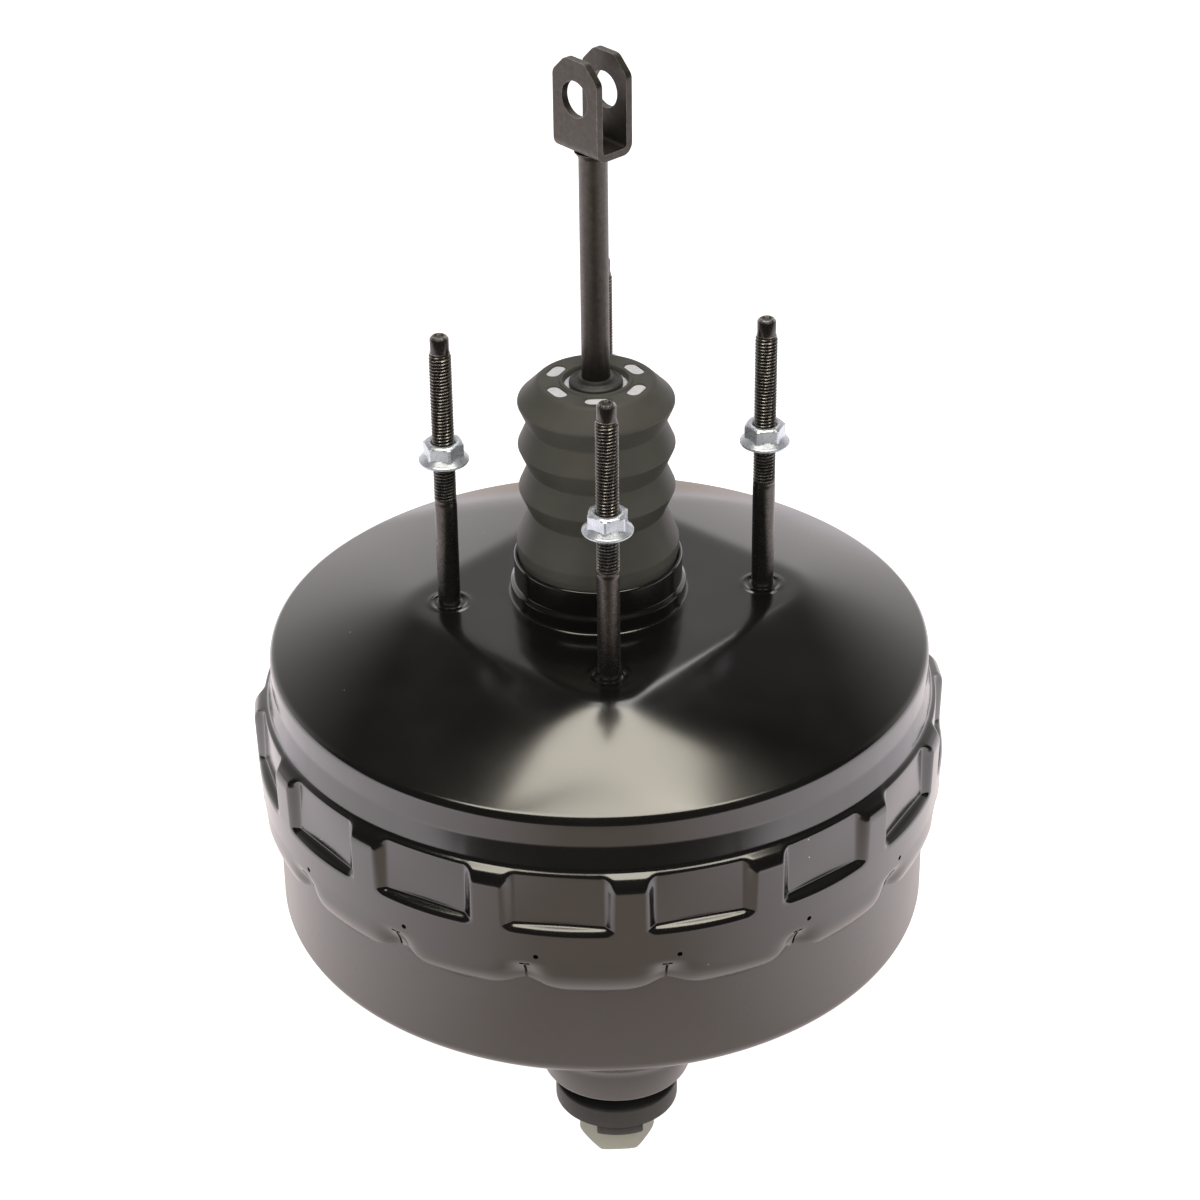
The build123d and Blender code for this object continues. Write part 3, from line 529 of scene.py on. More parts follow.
def dome_rows(c, s):
    """Dome from the neck's foot outward, and the bend at the shoulder."""
    sample = dome_height()
    edge_r, run = SHOULDER_R - 6.0, 3.0
    inside_r = edge_r - run
    slope = (sample(edge_r * c, edge_r * s) - sample(inside_r * c, inside_r * s)) / run
    tilt = np.arctan(-slope)
    turn = pi / 2 - tilt
    reach = SHOULDER_BEND * np.tan(turn / 2)
    centre_r, centre_z = SHOULDER_R - SHOULDER_BEND, SHOULDER_Z - reach
    start_r = centre_r + SHOULDER_BEND * np.sin(tilt)
    start_z = centre_z + SHOULDER_BEND * np.cos(tilt)

    foot_r = NECK_BASE_R + NECK_FOOT
    share = np.linspace(0, 1, 122)[1:, None]
    dome_r = foot_r + (start_r - foot_r) * share
    dome_z = sample(dome_r * c, dome_r * s)
    dome_z = dome_z + (start_z - dome_z[-1]) * smoothstep(0.35, 1.0, share)
    dome_z = np.minimum(dome_z, 0) - stud_dimples(dome_r * c, dome_r * s)

    bend = tilt + turn * np.linspace(0, 1, 9)[1:, None]
    bend_r = centre_r + SHOULDER_BEND * np.sin(bend)
    bend_z = centre_z + SHOULDER_BEND * np.cos(bend)
    return np.vstack([dome_r, bend_r]), np.vstack([dome_z, bend_z])


def rim_profile():
    """Outer line of the rim below the shoulder, before the pockets are pressed."""
    run = np.linspace(0, STEP_RUN[-1], 52)
    tilt = np.radians(np.interp(run, STEP_RUN, STEP_TILT))
    tilt = (tilt[1:] + tilt[:-1]) / 2
    out = np.append(0, np.cumsum(np.sin(tilt))) * run[1]
    drop = np.append(0, np.cumsum(np.cos(tilt))) * run[1]
    step_r = SHOULDER_R + out * (RIM_R - SHOULDER_R) / out[-1]
    step = np.column_stack([step_r, RIM_TOP_Z + drop[-1] - drop])
    line = np.vstack([[(SHOULDER_R, SHOULDER_Z - 6)], step,
                      [(RIM_LOW_R, RIM_BOTTOM_Z), (SKIRT_R, SKIRT_TOP_Z)]])
    fine, coarse = filled_in(line, 0.35), filled_in(line, 0.75)
    step_low = RIM_TOP_Z - 3
    ledge_top, ledge_low = POCKET_LOW_Z + 2.0, POCKET_LOW_Z - 6.0
    near_top = fine[fine[:, 1] > step_low]
    middle = coarse[(coarse[:, 1] <= step_low) & (coarse[:, 1] > ledge_top)]
    near_ledge = fine[(fine[:, 1] <= ledge_top) & (fine[:, 1] > ledge_low)]
    rest = coarse[coarse[:, 1] <= ledge_low]
    return np.vstack([near_top, middle, near_ledge, rest])


def ledge_curve():
    """Depth of the pocket's foot against the height above it: outer bend, flat and root bend."""
    depth = RIM_LOW_R - POCKET_LOW_R
    turn = np.radians(np.linspace(0, LEDGE_DEG, 12))
    high, deep = LEDGE_BEND * np.sin(turn), LEDGE_BEND * (1 - np.cos(turn))
    root_high = LEDGE_ROOT * (np.sin(turn[-1]) - np.sin(turn[::-1]))
    root_deep = LEDGE_ROOT * (np.cos(turn[::-1]) - np.cos(turn[-1]))
    flat = depth - deep[-1] - root_deep[-1]
    flat_high = flat / tan(radians(LEDGE_DEG))
    high = np.concatenate([high, high[-1] + flat_high + root_high])
    deep = np.concatenate([deep, deep[-1] + flat + root_deep])
    return high, deep / depth


def from_middle(angle, offset_deg=0):
    """Signed angle from the nearest pocket's middle, or from a line that is offset from it."""
    period = 2 * pi / POCKETS
    return (angle - radians(POCKET_FIRST + offset_deg) + period / 2) % period - period / 2


def press_pockets(radius, height, angle):
    """Moves the rim in to the pocket faces, with steep sides and a narrow ledge below."""
    away = from_middle(angle)
    across = np.abs(RIM_R * np.sin(away))
    down = (POCKET_TOP_Z - height) / (POCKET_TOP_Z - POCKET_LOW_Z)
    face = POCKET_TOP_R + (POCKET_LOW_R - POCKET_TOP_R) * np.clip(down, -0.3, 1)
    face = face * (1 + (1 / np.cos(away) - 1) * np.clip(down, 0, 1))
    rise = np.clip((height - POCKET_TOP_Z + POCKET_CORNER_LOW) / POCKET_CORNER_HIGH, 0, 1)
    half = POCKET_WIDTH / 2 - POCKET_CORNER * (1 - np.sqrt(1 - rise ** 2))
    sides = 1 - smoothstep(half - POCKET_DRAFT, half + POCKET_DRAFT, across)
    high, share = ledge_curve()
    foot = np.interp(height, POCKET_LOW_Z - high[-1] + high, share)
    over = radius - face
    depth = (over + np.hypot(over, POCKET_BEND)) / 2
    return radius - depth * sides * foot


def skirt_rows(angle):
    """Skirt under the rim, with curled lobes and a dimple pressed at each slit."""
    beside = np.abs(SKIRT_R * from_middle(angle, SLIT_OFFSET))
    notch = np.clip(1 - (beside - LOBE_FLAT) / (LOBE_GAP / 2 - LOBE_FLAT), 0, 1) ** LOBE_POWER
    low_z = LOBE_Z + (SLIT_FOOT_Z - LOBE_Z) * notch
    down = np.linspace(0, 1, 21)[1:, None]
    height = SKIRT_TOP_Z + (low_z - SKIRT_TOP_Z) * down
    curl = np.clip((SKIRT_Z - height) / (SKIRT_Z - LOBE_Z), 0, 1)
    radius = SKIRT_R - (SKIRT_R - LOBE_R) * curl ** 2
    pressed = (np.exp(-(beside / DIMPLE_WIDTH) ** 2)
               * smoothstep(0.0, 1.0, (SKIRT_TOP_Z - height) / DIMPLE_HEIGHT))
    return radius - DIMPLE_DEPTH * pressed, height


def inner_side(radius, height):
    """The same rows on the other side of the sheet."""
    along_r, along_z = np.gradient(radius, axis=0), np.gradient(height, axis=0)
    length = np.hypot(along_r, along_z)
    return radius + SHEET * along_z / length, height - SHEET * along_r / length


def skirt_tools():
    """Cutters for the T slits and the lances of the skirt."""
    tools = []
    for k in range(POCKETS):
        turn_deg = POCKET_FIRST + SLIT_OFFSET + 360 * k / POCKETS
        tools += [radial_box(turn_deg, SLIT_BAR, SLIT_TOP_Z - SLIT_BAR_HALF,
                             SLIT_TOP_Z + SLIT_BAR_HALF),
                  radial_box(turn_deg, SLIT_WIDTH, SLIT_FOOT_Z - 2, SLIT_TOP_Z),
                  radial_hole(turn_deg + LANCE_OFFSET, LANCE_R, LANCE_Z)]
    return tools


def rear_shell():
    """One pressed sheet: neck, dome, shoulder, rim and skirt, outside and inside."""
    angle = rim_angles()
    columns = len(angle)
    neck_r, neck_z = lathe_rows(neck_line(), columns)
    dome_r, dome_z = dome_rows(np.cos(angle), np.sin(angle))
    plain_r, rim_z = lathe_rows(rim_profile(), columns)
    rim_r = press_pockets(plain_r, rim_z, angle)
    skirt_r, skirt_z = skirt_rows(angle)
    out_r, out_z = np.vstack([dome_r, rim_r, skirt_r]), np.vstack([dome_z, rim_z, skirt_z])
    in_r, in_z = inner_side(out_r, out_z)
    radius = np.vstack([neck_r, out_r, in_r[::-1]])
    height = np.vstack([neck_z, out_z, in_z[::-1]])
    shell = polar("rear_shell_formed", radius, height, angle, sharp=50)
    cut(shell, skirt_tools(), sharp=50)
    return finish_piece(shell, "housing", "shell_black", "rear_shell")


def radial_place(turn_deg, distance, height):
    """Frame whose Z points out from the axis and whose X points down."""
    turn = Matrix.Rotation(radians(turn_deg), 4, "Z")
    place = turn @ Matrix.Translation((distance, 0, height)) @ Matrix.Rotation(pi / 2, 4, "Y")
    return Matrix.Translation((0, AXIS_Y, 0)) @ place


def radial_box(turn_deg, width, low, high):
    """Cutter through the skirt at an angle round the axis."""
    half = (high - low) / 2
    outline = [(-half, -width / 2), (half, -width / 2), (half, width / 2), (-half, width / 2)]
    place = radial_place(turn_deg, SKIRT_R, (low + high) / 2)
    return prism("slit_tool", outline, -TOOL_REACH, TOOL_REACH, place)


def radial_hole(turn_deg, radius, height):
    outline = arc(radius, np.arange(12) * pi / 6)
    place = radial_place(turn_deg, SKIRT_R, height)
    return prism("lance_tool", outline, -TOOL_REACH, TOOL_REACH, place)


# ---------------------------------------------------------------- front shell
def front_outline():
    """Wall, face and bore of the front shell, outside and back inside up to its flange."""
    low, face_in = FRONT_CORNER_Z, FACE_Z + SHEET
    wall_in, bore_in, flange_in = FRONT_R - SHEET, BORE_R + SHEET, FRONT_R - 0.2
    points = [(FRONT_R, FLANGE_Z), (FRONT_R, low), (FACE_R, FACE_Z), (BORE_R, FACE_Z),
              (BORE_R, BORE_FLOOR_Z), (BORE_HOLE_R, BORE_FLOOR_Z),
              (BORE_HOLE_R, BORE_FLOOR_Z + SHEET), (bore_in, BORE_FLOOR_Z + SHEET),
              (bore_in, face_in), (FACE_R, face_in), (wall_in, low + 1.2),
              (wall_in, FRONT_TOP_Z), (flange_in, FRONT_TOP_Z), (flange_in, FLANGE_TOP_Z),
              (FLANGE_R, FLANGE_TOP_Z), (FLANGE_R, FLANGE_Z)]
    radii = [0, FRONT_BEND, FRONT_BEND, 1.6, 0.8, 0.3, 0.3, 0.8, 1.0, 4, 3.5, 0, 0, 0, 0, 0]
    return rounded(points, radii, 7)


def front_surface():
    """Height of the front shell's outer surface as a function of the distance to the axis."""
    points = [(FRONT_R, -110.0), (FRONT_R, FRONT_CORNER_Z), (FACE_R, FACE_Z), (0, FACE_Z)]
    line = rounded(points, [0, FRONT_BEND, FRONT_BEND, 0], 5)
    order = np.argsort(line[:, 0])
    return lambda radius: np.interp(radius, line[order, 0], line[order, 1])


def front_shell():
    return finish_piece(turned("front_shell_formed", front_outline(), 360), "housing",
                        "shell_black", "front_shell", material=FRONT_PAINT)


def port_boss():
    """Tower that carries the vacuum valve, flared where it leaves the shell."""
    surface = front_surface()
    columns = 192
    angle = column_angles(columns)
    fraction = np.linspace(0, 1, 15)[:, None]
    reach = BOSS_R + BOSS_FLARE * (1 - fraction) ** 2.2
    x = PORT[0] + reach * np.cos(angle)
    y = PORT[1] - AXIS_Y + reach * np.sin(angle)
    on_shell = surface(np.hypot(x, y))
    top = on_shell + 0.6 - fraction * 7.5
    wall_low = BOSS_Z + 2.4
    top = np.maximum(top, wall_low + 0.2 * (1 - fraction))
    edge = np.arange(1, 7)[:, None] * pi / 12
    edge_r = BOSS_R - BOSS_BEND * (1 - np.cos(edge)) + 0 * angle
    edge_z = wall_low - BOSS_BEND * np.sin(edge) - 0.2 + 0 * angle
    inside_r = BOSS_R - SHEET
    flat = np.array([[BOSS_HOLE_R], [BOSS_HOLE_R], [inside_r], [inside_r]]) + 0 * angle
    flat_z = np.vstack([np.full(columns, BOSS_Z), np.full(columns, BOSS_Z + SHEET),
                        np.full(columns, BOSS_Z + SHEET), on_shell[-1] + 3])
    radius = np.vstack([reach + 0 * angle, edge_r, flat])
    height = np.vstack([top, edge_z, flat_z])
    boss = polar("front_shell_boss", radius, height, angle, PORT, True, 40)
    return finish_piece(boss, "housing", "shell_black", "front_shell", material=FRONT_PAINT)


# ---------------------------------------------------------------- studs and nuts
def thread_rows(radius, depth, low, high, pitch, columns, per_turn=8):
    """Rows of a screw thread, fading out at both ends."""
    count = int((high - low) / pitch * per_turn)
    z = np.linspace(low, high, count)[:, None]
    angle = column_angles(columns)
    phase = (z / pitch - angle / (2 * pi)) % 1
    tooth = np.clip(np.abs(phase - 0.5) * 2 * 1.25 - 0.12, 0, 1)
    fade = smoothstep(low, low + pitch, z) * (1 - smoothstep(high - pitch, high, z))
    start = 0.5 * smoothstep(high - 1.6 * pitch, high, z)
    return radius - depth * tooth * fade - start, z + 0 * angle


def stud_mesh(centre, radius, dog_r, foot, shank_top, top, dog, pitch, sign=1):
    """Shank, thread and dog point along +Z, or along -Z where the sign is -1."""
    columns = 40
    depth = THREAD_DEPTH * pitch * THREAD_FILL
    screw_r, screw_z = thread_rows(radius, depth, shank_top, top - dog, pitch, columns)
    shank_r = radius + 0.04
    shank = [(0, foot), (shank_r, foot), (shank_r, foot + 1), (shank_r, shank_top - 2.4),
             (shank_r, shank_top - 1.6), (radius - 0.15, shank_top - 0.5)]
    point = [(dog_r, top - dog), (dog_r, top - 1.0), (dog_r - 0.25, top - 0.6),
             (dog_r - 0.9, top), (dog_r - 1.6, top), (dog_r - 2.0, top - 0.35), (0, top - 0.35)]
    shank_r, shank_z = lathe_rows(filled_in(shank, 0.8), columns)
    point_r, point_z = lathe_rows(point, columns)
    r = np.vstack([shank_r, screw_r, point_r])
    z = np.vstack([shank_z, screw_z, point_z])
    return polar("stud", r, sign * z, sign * column_angles(columns), centre, False, 40)


def stud_head(centre, radius, low, high, bends):
    outline = rounded([(0, low), (radius, low), (radius, high), (0, high)], [0, *bends, 0])
    return turned("head", outline, 48, centre)


def mounting_studs():
    studs = []
    for place in STUD_PLACES:
        studs += [stud_mesh(place, STUD_R, DOG_R, STUD_FOOT, THREAD_LOW, STUD_TOP, DOG_LENGTH,
                            PITCH),
                  stud_head(place, 7, -8, STUD_FOOT, (0.8, 0.5))]
    return finish_piece(joined("stud_set", studs, 40), "housing", "stud_steel", "mounting_studs")


def nut_mesh(centre, turn_deg):
    """Flange, cone up to the hexagon, chamfered crown and bore."""
    columns = 144
    angle = column_angles(columns)
    hexagon = np.minimum(hexagon_radius(angle, NUT_FLAT), NUT_FLAT / cos(pi / 6) - 0.12)
    rows = level_rows(columns, (NUT_BORE_R, 0.5), (4.6, 0.0), (8.3, 0.0), (8.75, 0.15),
                      (NUT_FLANGE_R, 0.45), (NUT_FLANGE_R, 0.85), (8.8, 1.1), (8.5, 1.3))
    for z in np.linspace(1.5, 3.3, 8):
        cone = 8.3 - (z - 1.5) * 1.15
        rows.append((np.maximum(hexagon, cone), np.full(columns, z)))
    for z in np.linspace(3.6, NUT_HEIGHT - 0.1, 12):
        crown = 5.9 + (NUT_HEIGHT - z) * 1.62
        rows.append((np.minimum(hexagon, crown), np.full(columns, z)))
    rows += level_rows(columns, (5.75, NUT_HEIGHT), (4.9, NUT_HEIGHT), (4.3, NUT_HEIGHT - 0.5),
                       (NUT_BORE_R, NUT_HEIGHT - 1.0))
    r, z = stacked(rows)
    seat = centre + np.array([0, 0, NUT_Z])
    return polar("nut", r, z, angle + radians(turn_deg), seat, True, 24)


def flange_nuts():
    nuts = [nut_mesh(place, turn_deg) for place, turn_deg in zip(STUD_PLACES, NUT_TURNS)]
    return finish_piece(joined("nut_set", nuts, 24), "housing", "nut_zinc", "flange_nuts")


def cylinder_studs():
    studs = []
    for x in (-CYLINDER_STUD_X, CYLINDER_STUD_X):
        centre = np.array([x, AXIS_Y, 0])
        studs += [stud_mesh(centre, 5.0, 4.2, CYLINDER_STUD_FOOT, shank_top=146.0, top=168.0,
                            dog=1.2, pitch=1.5, sign=-1),
                  stud_head(centre, 8, -CYLINDER_STUD_FOOT, -133.5, (0.5, 0.8))]
    return finish_piece(joined("cylinder_stud_set", studs, 40), "housing", "stud_steel",
                        "master_cylinder_studs")


# ---------------------------------------------------------------- boot, rod and clevis
def slot_prisms(name, end_r, low, high):
    """Prisms on the boot's round-ended slots, which lie across the radius."""
    outline = [(side * SLOT_HALF + end_r * sin(a), end_r * cos(a)) for side in (1, -1)
               for a in np.linspace(0, pi, 9) + (0 if side > 0 else pi)]
    made = []
    for k in range(BOOT_SLOTS):
        turn = radians(BOOT_SLOT_FIRST + 360 * k / BOOT_SLOTS)
        place = Matrix.Translation((0, AXIS_Y, 0)) @ Matrix.Rotation(turn, 4, "Z")
        place = place @ Matrix.Translation((BOOT_SLOT_R, 0, 0)) @ Matrix.Rotation(pi / 2, 4, "Z")
        made.append(prism(name, outline[::-1], low, high, place))
    return made


def air_filter():
    """Felt ring in the valve tube that swells up into the boot's slots."""
    ring = rounded([(FELT_BORE_R, FELT_LOW), (FELT_R, FELT_LOW), (FELT_R, FELT_TOP),
                    (FELT_BORE_R, FELT_TOP)], [0.3, 0.3, 1.0, 0.6], 20)
    pieces = [turned("felt_ring", filled_in(ring, 1.2, True), 96)]
    pieces += slot_prisms("felt_swell", SLOT_END_R - 0.15, FELT_SWELL_LOW, BOOT_TOP_Z - 0.55)
    return finish_piece(joined("air_filter_felt", pieces), "power_piston", "felt", "air_filter")


def dust_boot():
    """Bellows from the shell's neck up to the rod."""
    outer = [(28.7, 8.6), (28.7, 14.6), (28.9, 16.6), (29.3, 18.4), (29.4, 22.4)]
    bends = [0, 1.0, 1.0, 1.2, 2.5]
    for fold in range(BOOT_FOLDS):
        valley = BOOT_VALLEY_Z + fold * BOOT_PITCH
        outer += [(BOOT_VALLEY_R, valley), (BOOT_RIDGE_R, valley + BOOT_PITCH / 2)]
        bends += [1.2, 1.4]
    lip_z = BOOT_TOP_Z + BOOT_LIP
    outer += [(20.9, BOOT_TOP_Z), (13.2, BOOT_TOP_Z), (12.9, lip_z), (11.7, lip_z),
              (BOOT_HOLE_R, BOOT_TOP_Z)]
    bends += [3.0, 0.3, 0.2, 0.3, 0.3]
    inner = [(r - (0.9 * BOOT_WALL if r > 22 else 0), z - (BOOT_WALL if z > 84 else 0))
             for r, z in outer[::-1]]
    inner[0] = (BOOT_HOLE_R, BOOT_TOP_Z - BOOT_WALL)
    outline = rounded(outer + inner, bends + [0] + bends[::-1][1:-1] + [0], 9)
    boot = turned("dust_boot_moulded", outline, 224, sharp=45)
    cut(boot, slot_prisms("slot_tool", SLOT_END_R, BOOT_TOP_Z - 5, BOOT_TOP_Z + 3), sharp=45)
    piece = finish_piece(boot, "housing", "boot_rubber", "dust_boot")
    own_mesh(piece)
    return piece


def input_rod():
    """Push rod with its ball, thin inner end, shoulder and riveted head."""
    low, inside = CLEVIS_LOW, CLEVIS_LOW + CLEVIS_SHEET
    ball = arc(BALL_R, np.linspace(-pi / 2, radians(38), 14), BALL_Z)
    outline = ball + [(ROD_THIN_R, -12.6), (ROD_THIN_R, 30.0), (ROD_R, 32.0), (ROD_R, low - 2.6),
                      (ROD_R + 0.5, low - 1.6), (ROD_R + 1.4, low - 0.5),
                      (ROD_R + 1.5, low - 0.02), (ROD_R - 1.05, low), (ROD_R - 1.05, inside),
                      (ROD_R - 1.6, inside + 1.4), (2.0, inside + 2.0), (0, inside + 2.0)]
    return finish_piece(turned("push_rod_turned", outline, 96), "push_rod", "rod_phosphate",
                        "input_rod")


def clevis():
    """Fork bent from one strap, cut to its ears and bored for the pin."""
    out, sheet, low, high = CLEVIS_OUT, CLEVIS_SHEET, CLEVIS_LOW, CLEVIS_HIGH
    inner = out - sheet
    strap = rounded([(-out, high), (-out, low), (out, low), (out, high), (inner, high),
                     (inner, low + sheet), (-inner, low + sheet), (-inner, high)],
                    [0, 4.0, 4.0, 0, 0, 1.3, 1.3, 0], 10)
    half, ear = CLEVIS_WIDTH / 2, CLEVIS_EAR
    base = Matrix.Translation((0, AXIS_Y, 0)) @ Matrix.Rotation(radians(CLEVIS_YAW), 4, "Z")
    upright = base @ Matrix.Rotation(pi / 2, 4, "X")
    fork = prism("clevis_bent", strap, -half, half, upright)
    side = rounded([(-half, low - 1), (half, low - 1), (half, high - ear), (half - ear, high),
                    (ear - half, high), (-half, high - ear)], [0, 0, 3.5, 3.5, 3.5, 3.5], 8)
    sideways = base @ Matrix(((0, 0, 1, 0), (1, 0, 0, 0), (0, 1, 0, 0), (0, 0, 0, 1)))
    cut(fork, [prism("ear_tool", side, -20, 20, sideways)], "INTERSECT")
    hole = arc(PIN_R, np.arange(64) * pi / 32, PIN_Z)
    cut(fork, [prism("pin_tool", hole, -20, 20, sideways)])
    softened(fork, 0.45, 3, 35, 12)
    return finish_piece(fork, "push_rod", "rod_phosphate", "clevis")


def rod_collar():
    """Moulded bush on the rod that closes the boot's hole."""
    low = COLLAR_Z
    outline = rounded([(ROD_R, low), (9.5, low), (9.5, low + 2.4), (8.3, low + 3.2),
                       (7.6, low + 2.7), (6.8, low + 3.2), (6.2, low + 4.4), (ROD_R, low + 4.4)],
                      [0, 0.4, 0.5, 0.3, 0.3, 0.4, 0.4, 0.2])
    return finish_piece(turned("rod_collar_moulded", outline, 96), "push_rod", "rubber_black",
                        "rod_collar")


# ---------------------------------------------------------------- vacuum valve
def valve_grommet():
    """Rubber disc, waist and barb that hold the valve in its boss, with the disc's hanging lug."""
    waist_z = BOSS_Z - 2.2
    points = [(6.0, DISC_Z), (DISC_R, DISC_Z), (DISC_R, DISC_TOP_Z), (15.0, DISC_TOP_Z),
              (15.0, waist_z), (21.0, waist_z), (21.0, BOSS_Z), (11.0, BOSS_Z),
              (11.0, BOSS_Z + SHEET), (14.0, BOSS_Z + SHEET), (11.0, STEM_TOP_Z),
              (6.0, STEM_TOP_Z)]
    outline = rounded(points, [0, 0.5, 1.0, 0.6, 0.4, 0.9, 0.4, 0, 0, 0.6, 0.8, 0])
    body = turned("grommet", outline, 240, PORT)
    half = LUG_WIDTH / 2
    spread_deg = np.degrees(asin(half / DISC_R))
    rim = arc(DISC_R, np.radians(np.linspace(-spread_deg, spread_deg, 15)))
    place = Matrix.Translation(Vector(PORT)) @ Matrix.Rotation(radians(PORT_DEG), 4, "Z")
    lug = prism("lug", rim + [(LUG_ROOT_R, half), (LUG_ROOT_R, -half)], DISC_Z - LUG_DROP,
                DISC_Z + 0.3, place)
    softened(lug, 0.4, 2)
    return finish_piece(joined("grommet_moulded", [body, lug]), "housing", "rubber_black",
                        "valve_grommet")


def check_valve_body():
    """Six-sided body with bulging sides, its stem and the hose nipple."""
    columns = 192
    angle = column_angles(columns)
    turn = radians(PORT_DEG)
    flats = hexagon_radius(angle, VALVE_FLAT)
    body_r = (flats ** -VALVE_POWER + VALVE_R ** -VALVE_POWER) ** (-1 / VALVE_POWER)
    top = DISC_Z - 0.05
    rows = level_rows(columns, (0, top), (11.0, top))
    rows += [(body_r - 0.4, np.full(columns, top)), (body_r, np.full(columns, DISC_Z - 0.5)),
             (body_r, np.full(columns, VALVE_Z + VALVE_BEND))]
    for k in range(1, 9):
        a = k * pi / 16
        shrink = 0.9 * VALVE_BEND * (1 - cos(a))
        rows.append((body_r - shrink, np.full(columns, VALVE_Z + VALVE_BEND * (1 - sin(a)))))
    rows += level_rows(columns, (7.5, VALVE_Z), (0, VALVE_Z))
    r, z = stacked(rows)
    body = polar("valve", r, z, angle + turn, PORT, False, 40)
    barb_z = BOSS_Z + 10.5
    stem = turned("stem", [(0, DISC_Z), (STEM_R, DISC_Z), (STEM_R, STEM_TOP_Z), (7.6, STEM_TOP_Z),
                           (5.4, barb_z), (0, barb_z)], 48, PORT)
    nozzle = rounded([(3.4, 5), (3.4, 36), (4.5, 36), (5.5, 33), (5.5, 5)], [0, 0.4, 0.3, 0.6, 0])
    nipple = turned("nipple", nozzle, 64, np.zeros(3))
    place = (Matrix.Translation(Vector(PORT) + Vector((0, 0, NIPPLE_Z)))
             @ Matrix.Rotation(turn, 4, "Z") @ Matrix.Rotation(-pi / 2, 4, "Y"))
    metres = place.copy()
    metres.translation = place.translation * MM
    nipple.data.transform(metres)
    return finish_piece(joined("check_valve_moulded", [body, stem, nipple], 40), "housing",
                        "nylon_cream", "check_valve_body")


# ---------------------------------------------------------------- inner pieces
def soft_copy(node, body, slot_name):
    """Copy of a node with a mesh of its own, on a body and with the material of a slot; the node
    itself is hidden.
    """
    copy = bpy.data.objects.new(node + "_live", frame["nodes"][node].data.copy())
    bpy.context.scene.collection.objects.link(copy)
    finish_piece(copy, body, slot_name, node)
    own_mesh(copy)


def diaphragm(name, body, points, bends, node):
    """Thin rubber ring of revolution from an open (radius, height) line."""
    (start_r, start_z), (end_r, end_z) = points[0], points[-1]
    line = rounded([(start_r, start_z + 60)] + points + [(end_r, end_z + 60)],
                   [0] + bends + [0], 10)[1:-1]
    along = np.gradient(line, axis=0)
    along /= np.linalg.norm(along, axis=1)[:, None]
    other = line + RUBBER * np.column_stack([-along[:, 1], along[:, 0]])
    return finish_piece(turned(name, np.vstack([line, other[::-1]]), 128), body, "rubber_black",
                        node)


def diaphragms():
    """Each diaphragm as a disc on the piston and a rolling outer ring on the housing."""
    for name, hub_z, plate_z, wall_r, bead_z in (("rear", -18.0, -24.5, 115.5, -38.0),
                                                 ("front", -72.2, -72.2, 115.0, -72.0)):
        node = name + "_diaphragm"
        disc = [(25.0, hub_z), (38.0, hub_z), (PLATE_R, plate_z)]
        if hub_z == plate_z:
            disc.pop(1)
        diaphragm(node + "_disc", "power_piston", disc, [0] * len(disc), node)
        fold_z = plate_z - FOLD_DEPTH
        roll = [(PLATE_R + 3.5, plate_z - 1), (PLATE_R + 6.5, fold_z), (wall_r - 6, fold_z),
                (wall_r, bead_z)]
        diaphragm(node + "_roll", "housing", roll, [0, 3, 3, 0], node)


def live_springs():
    """Copies of the springs and poppet, each on its body and with the material of its slot."""
    soft_copy("return_spring", "housing", "spring_steel")
    soft_copy("poppet_valve", "power_piston",
              "rubber_black")
    soft_copy("check_valve_spring", "housing",
              "spring_steel")
    for node, anchor_z in (("poppet_spring", 0.0069), ("input_return_spring", 0.0254)):
        soft_copy(node, "power_piston", "spring_steel")


def dress_nodes():
    """Material of its record slot on every CAD node, shown or not."""
    slots = {entry["node"]: entry["material_slot"] for entry in frame["record"]["subparts"]}
    for name, obj in frame["nodes"].items():
        obj.data.materials.clear()
        obj.data.materials.append(MATERIALS[slots[name]])


# ---------------------------------------------------------------- camera, stage and lights
CAMERA_AZIMUTH, CAMERA_TILT, CAMERA_ROLL = -47.9, 30.93, -0.72
CAMERA_PLACE = Vector((-752.42, -676.61, 603.1)) * MM
CAMERA_LENS, SENSOR_WIDTH = 97.08, 36
LAMP_AIM_Z = -0.03

# Room that diffuse light and reflections see; the sweep fades upward and away from behind
ROOM_TINT, ROOM_LEVEL = (1.0, 0.97, 0.94), 0.15
SWEEP_TINT, SWEEP_LEVELS = (1.0, 0.96, 0.94), (0.03, 1.05)
SWEEP_TOP, SWEEP_SIDE = (0.22, 0.75), (0.10, 0.50)

# Floor: half its side, and the metres from the middle over which its reflection changes
FLOOR_HALF = 6000.0
FLOOR_FRONT, FLOOR_SIDE = (0.39, 0.46), (0.07, 0.36)
FLOOR_NEAR, FLOOR_OUTER = (0.17, 0.29), (0.27, 0.40)
FLOOR_DARK = (0.02, 0.018, 0.016)


def camera_axes():
    """Forward and right of the camera, and up across both."""
    a, e = radians(CAMERA_AZIMUTH), radians(CAMERA_TILT)
    forward = Vector((-sin(a) * cos(e), cos(a) * cos(e), -sin(e)))
    right = Vector((cos(a), sin(a), 0))
    return forward, right, right.cross(forward)


def place_camera():
    forward, right, up = camera_axes()
    roll = radians(CAMERA_ROLL)
    across = cos(roll) * right + sin(roll) * up
    above = -sin(roll) * right + cos(roll) * up
    data = bpy.data.cameras.new("camera")
    data.lens = CAMERA_LENS
    data.sensor_width = SENSOR_WIDTH
    camera = bpy.data.objects.new("camera", data)
    bpy.context.scene.collection.objects.link(camera)
    turn = Matrix((across, above, -forward)).transposed()
    camera.matrix_world = Matrix.Translation(CAMERA_PLACE) @ turn.to_4x4()
    bpy.context.scene.camera = camera


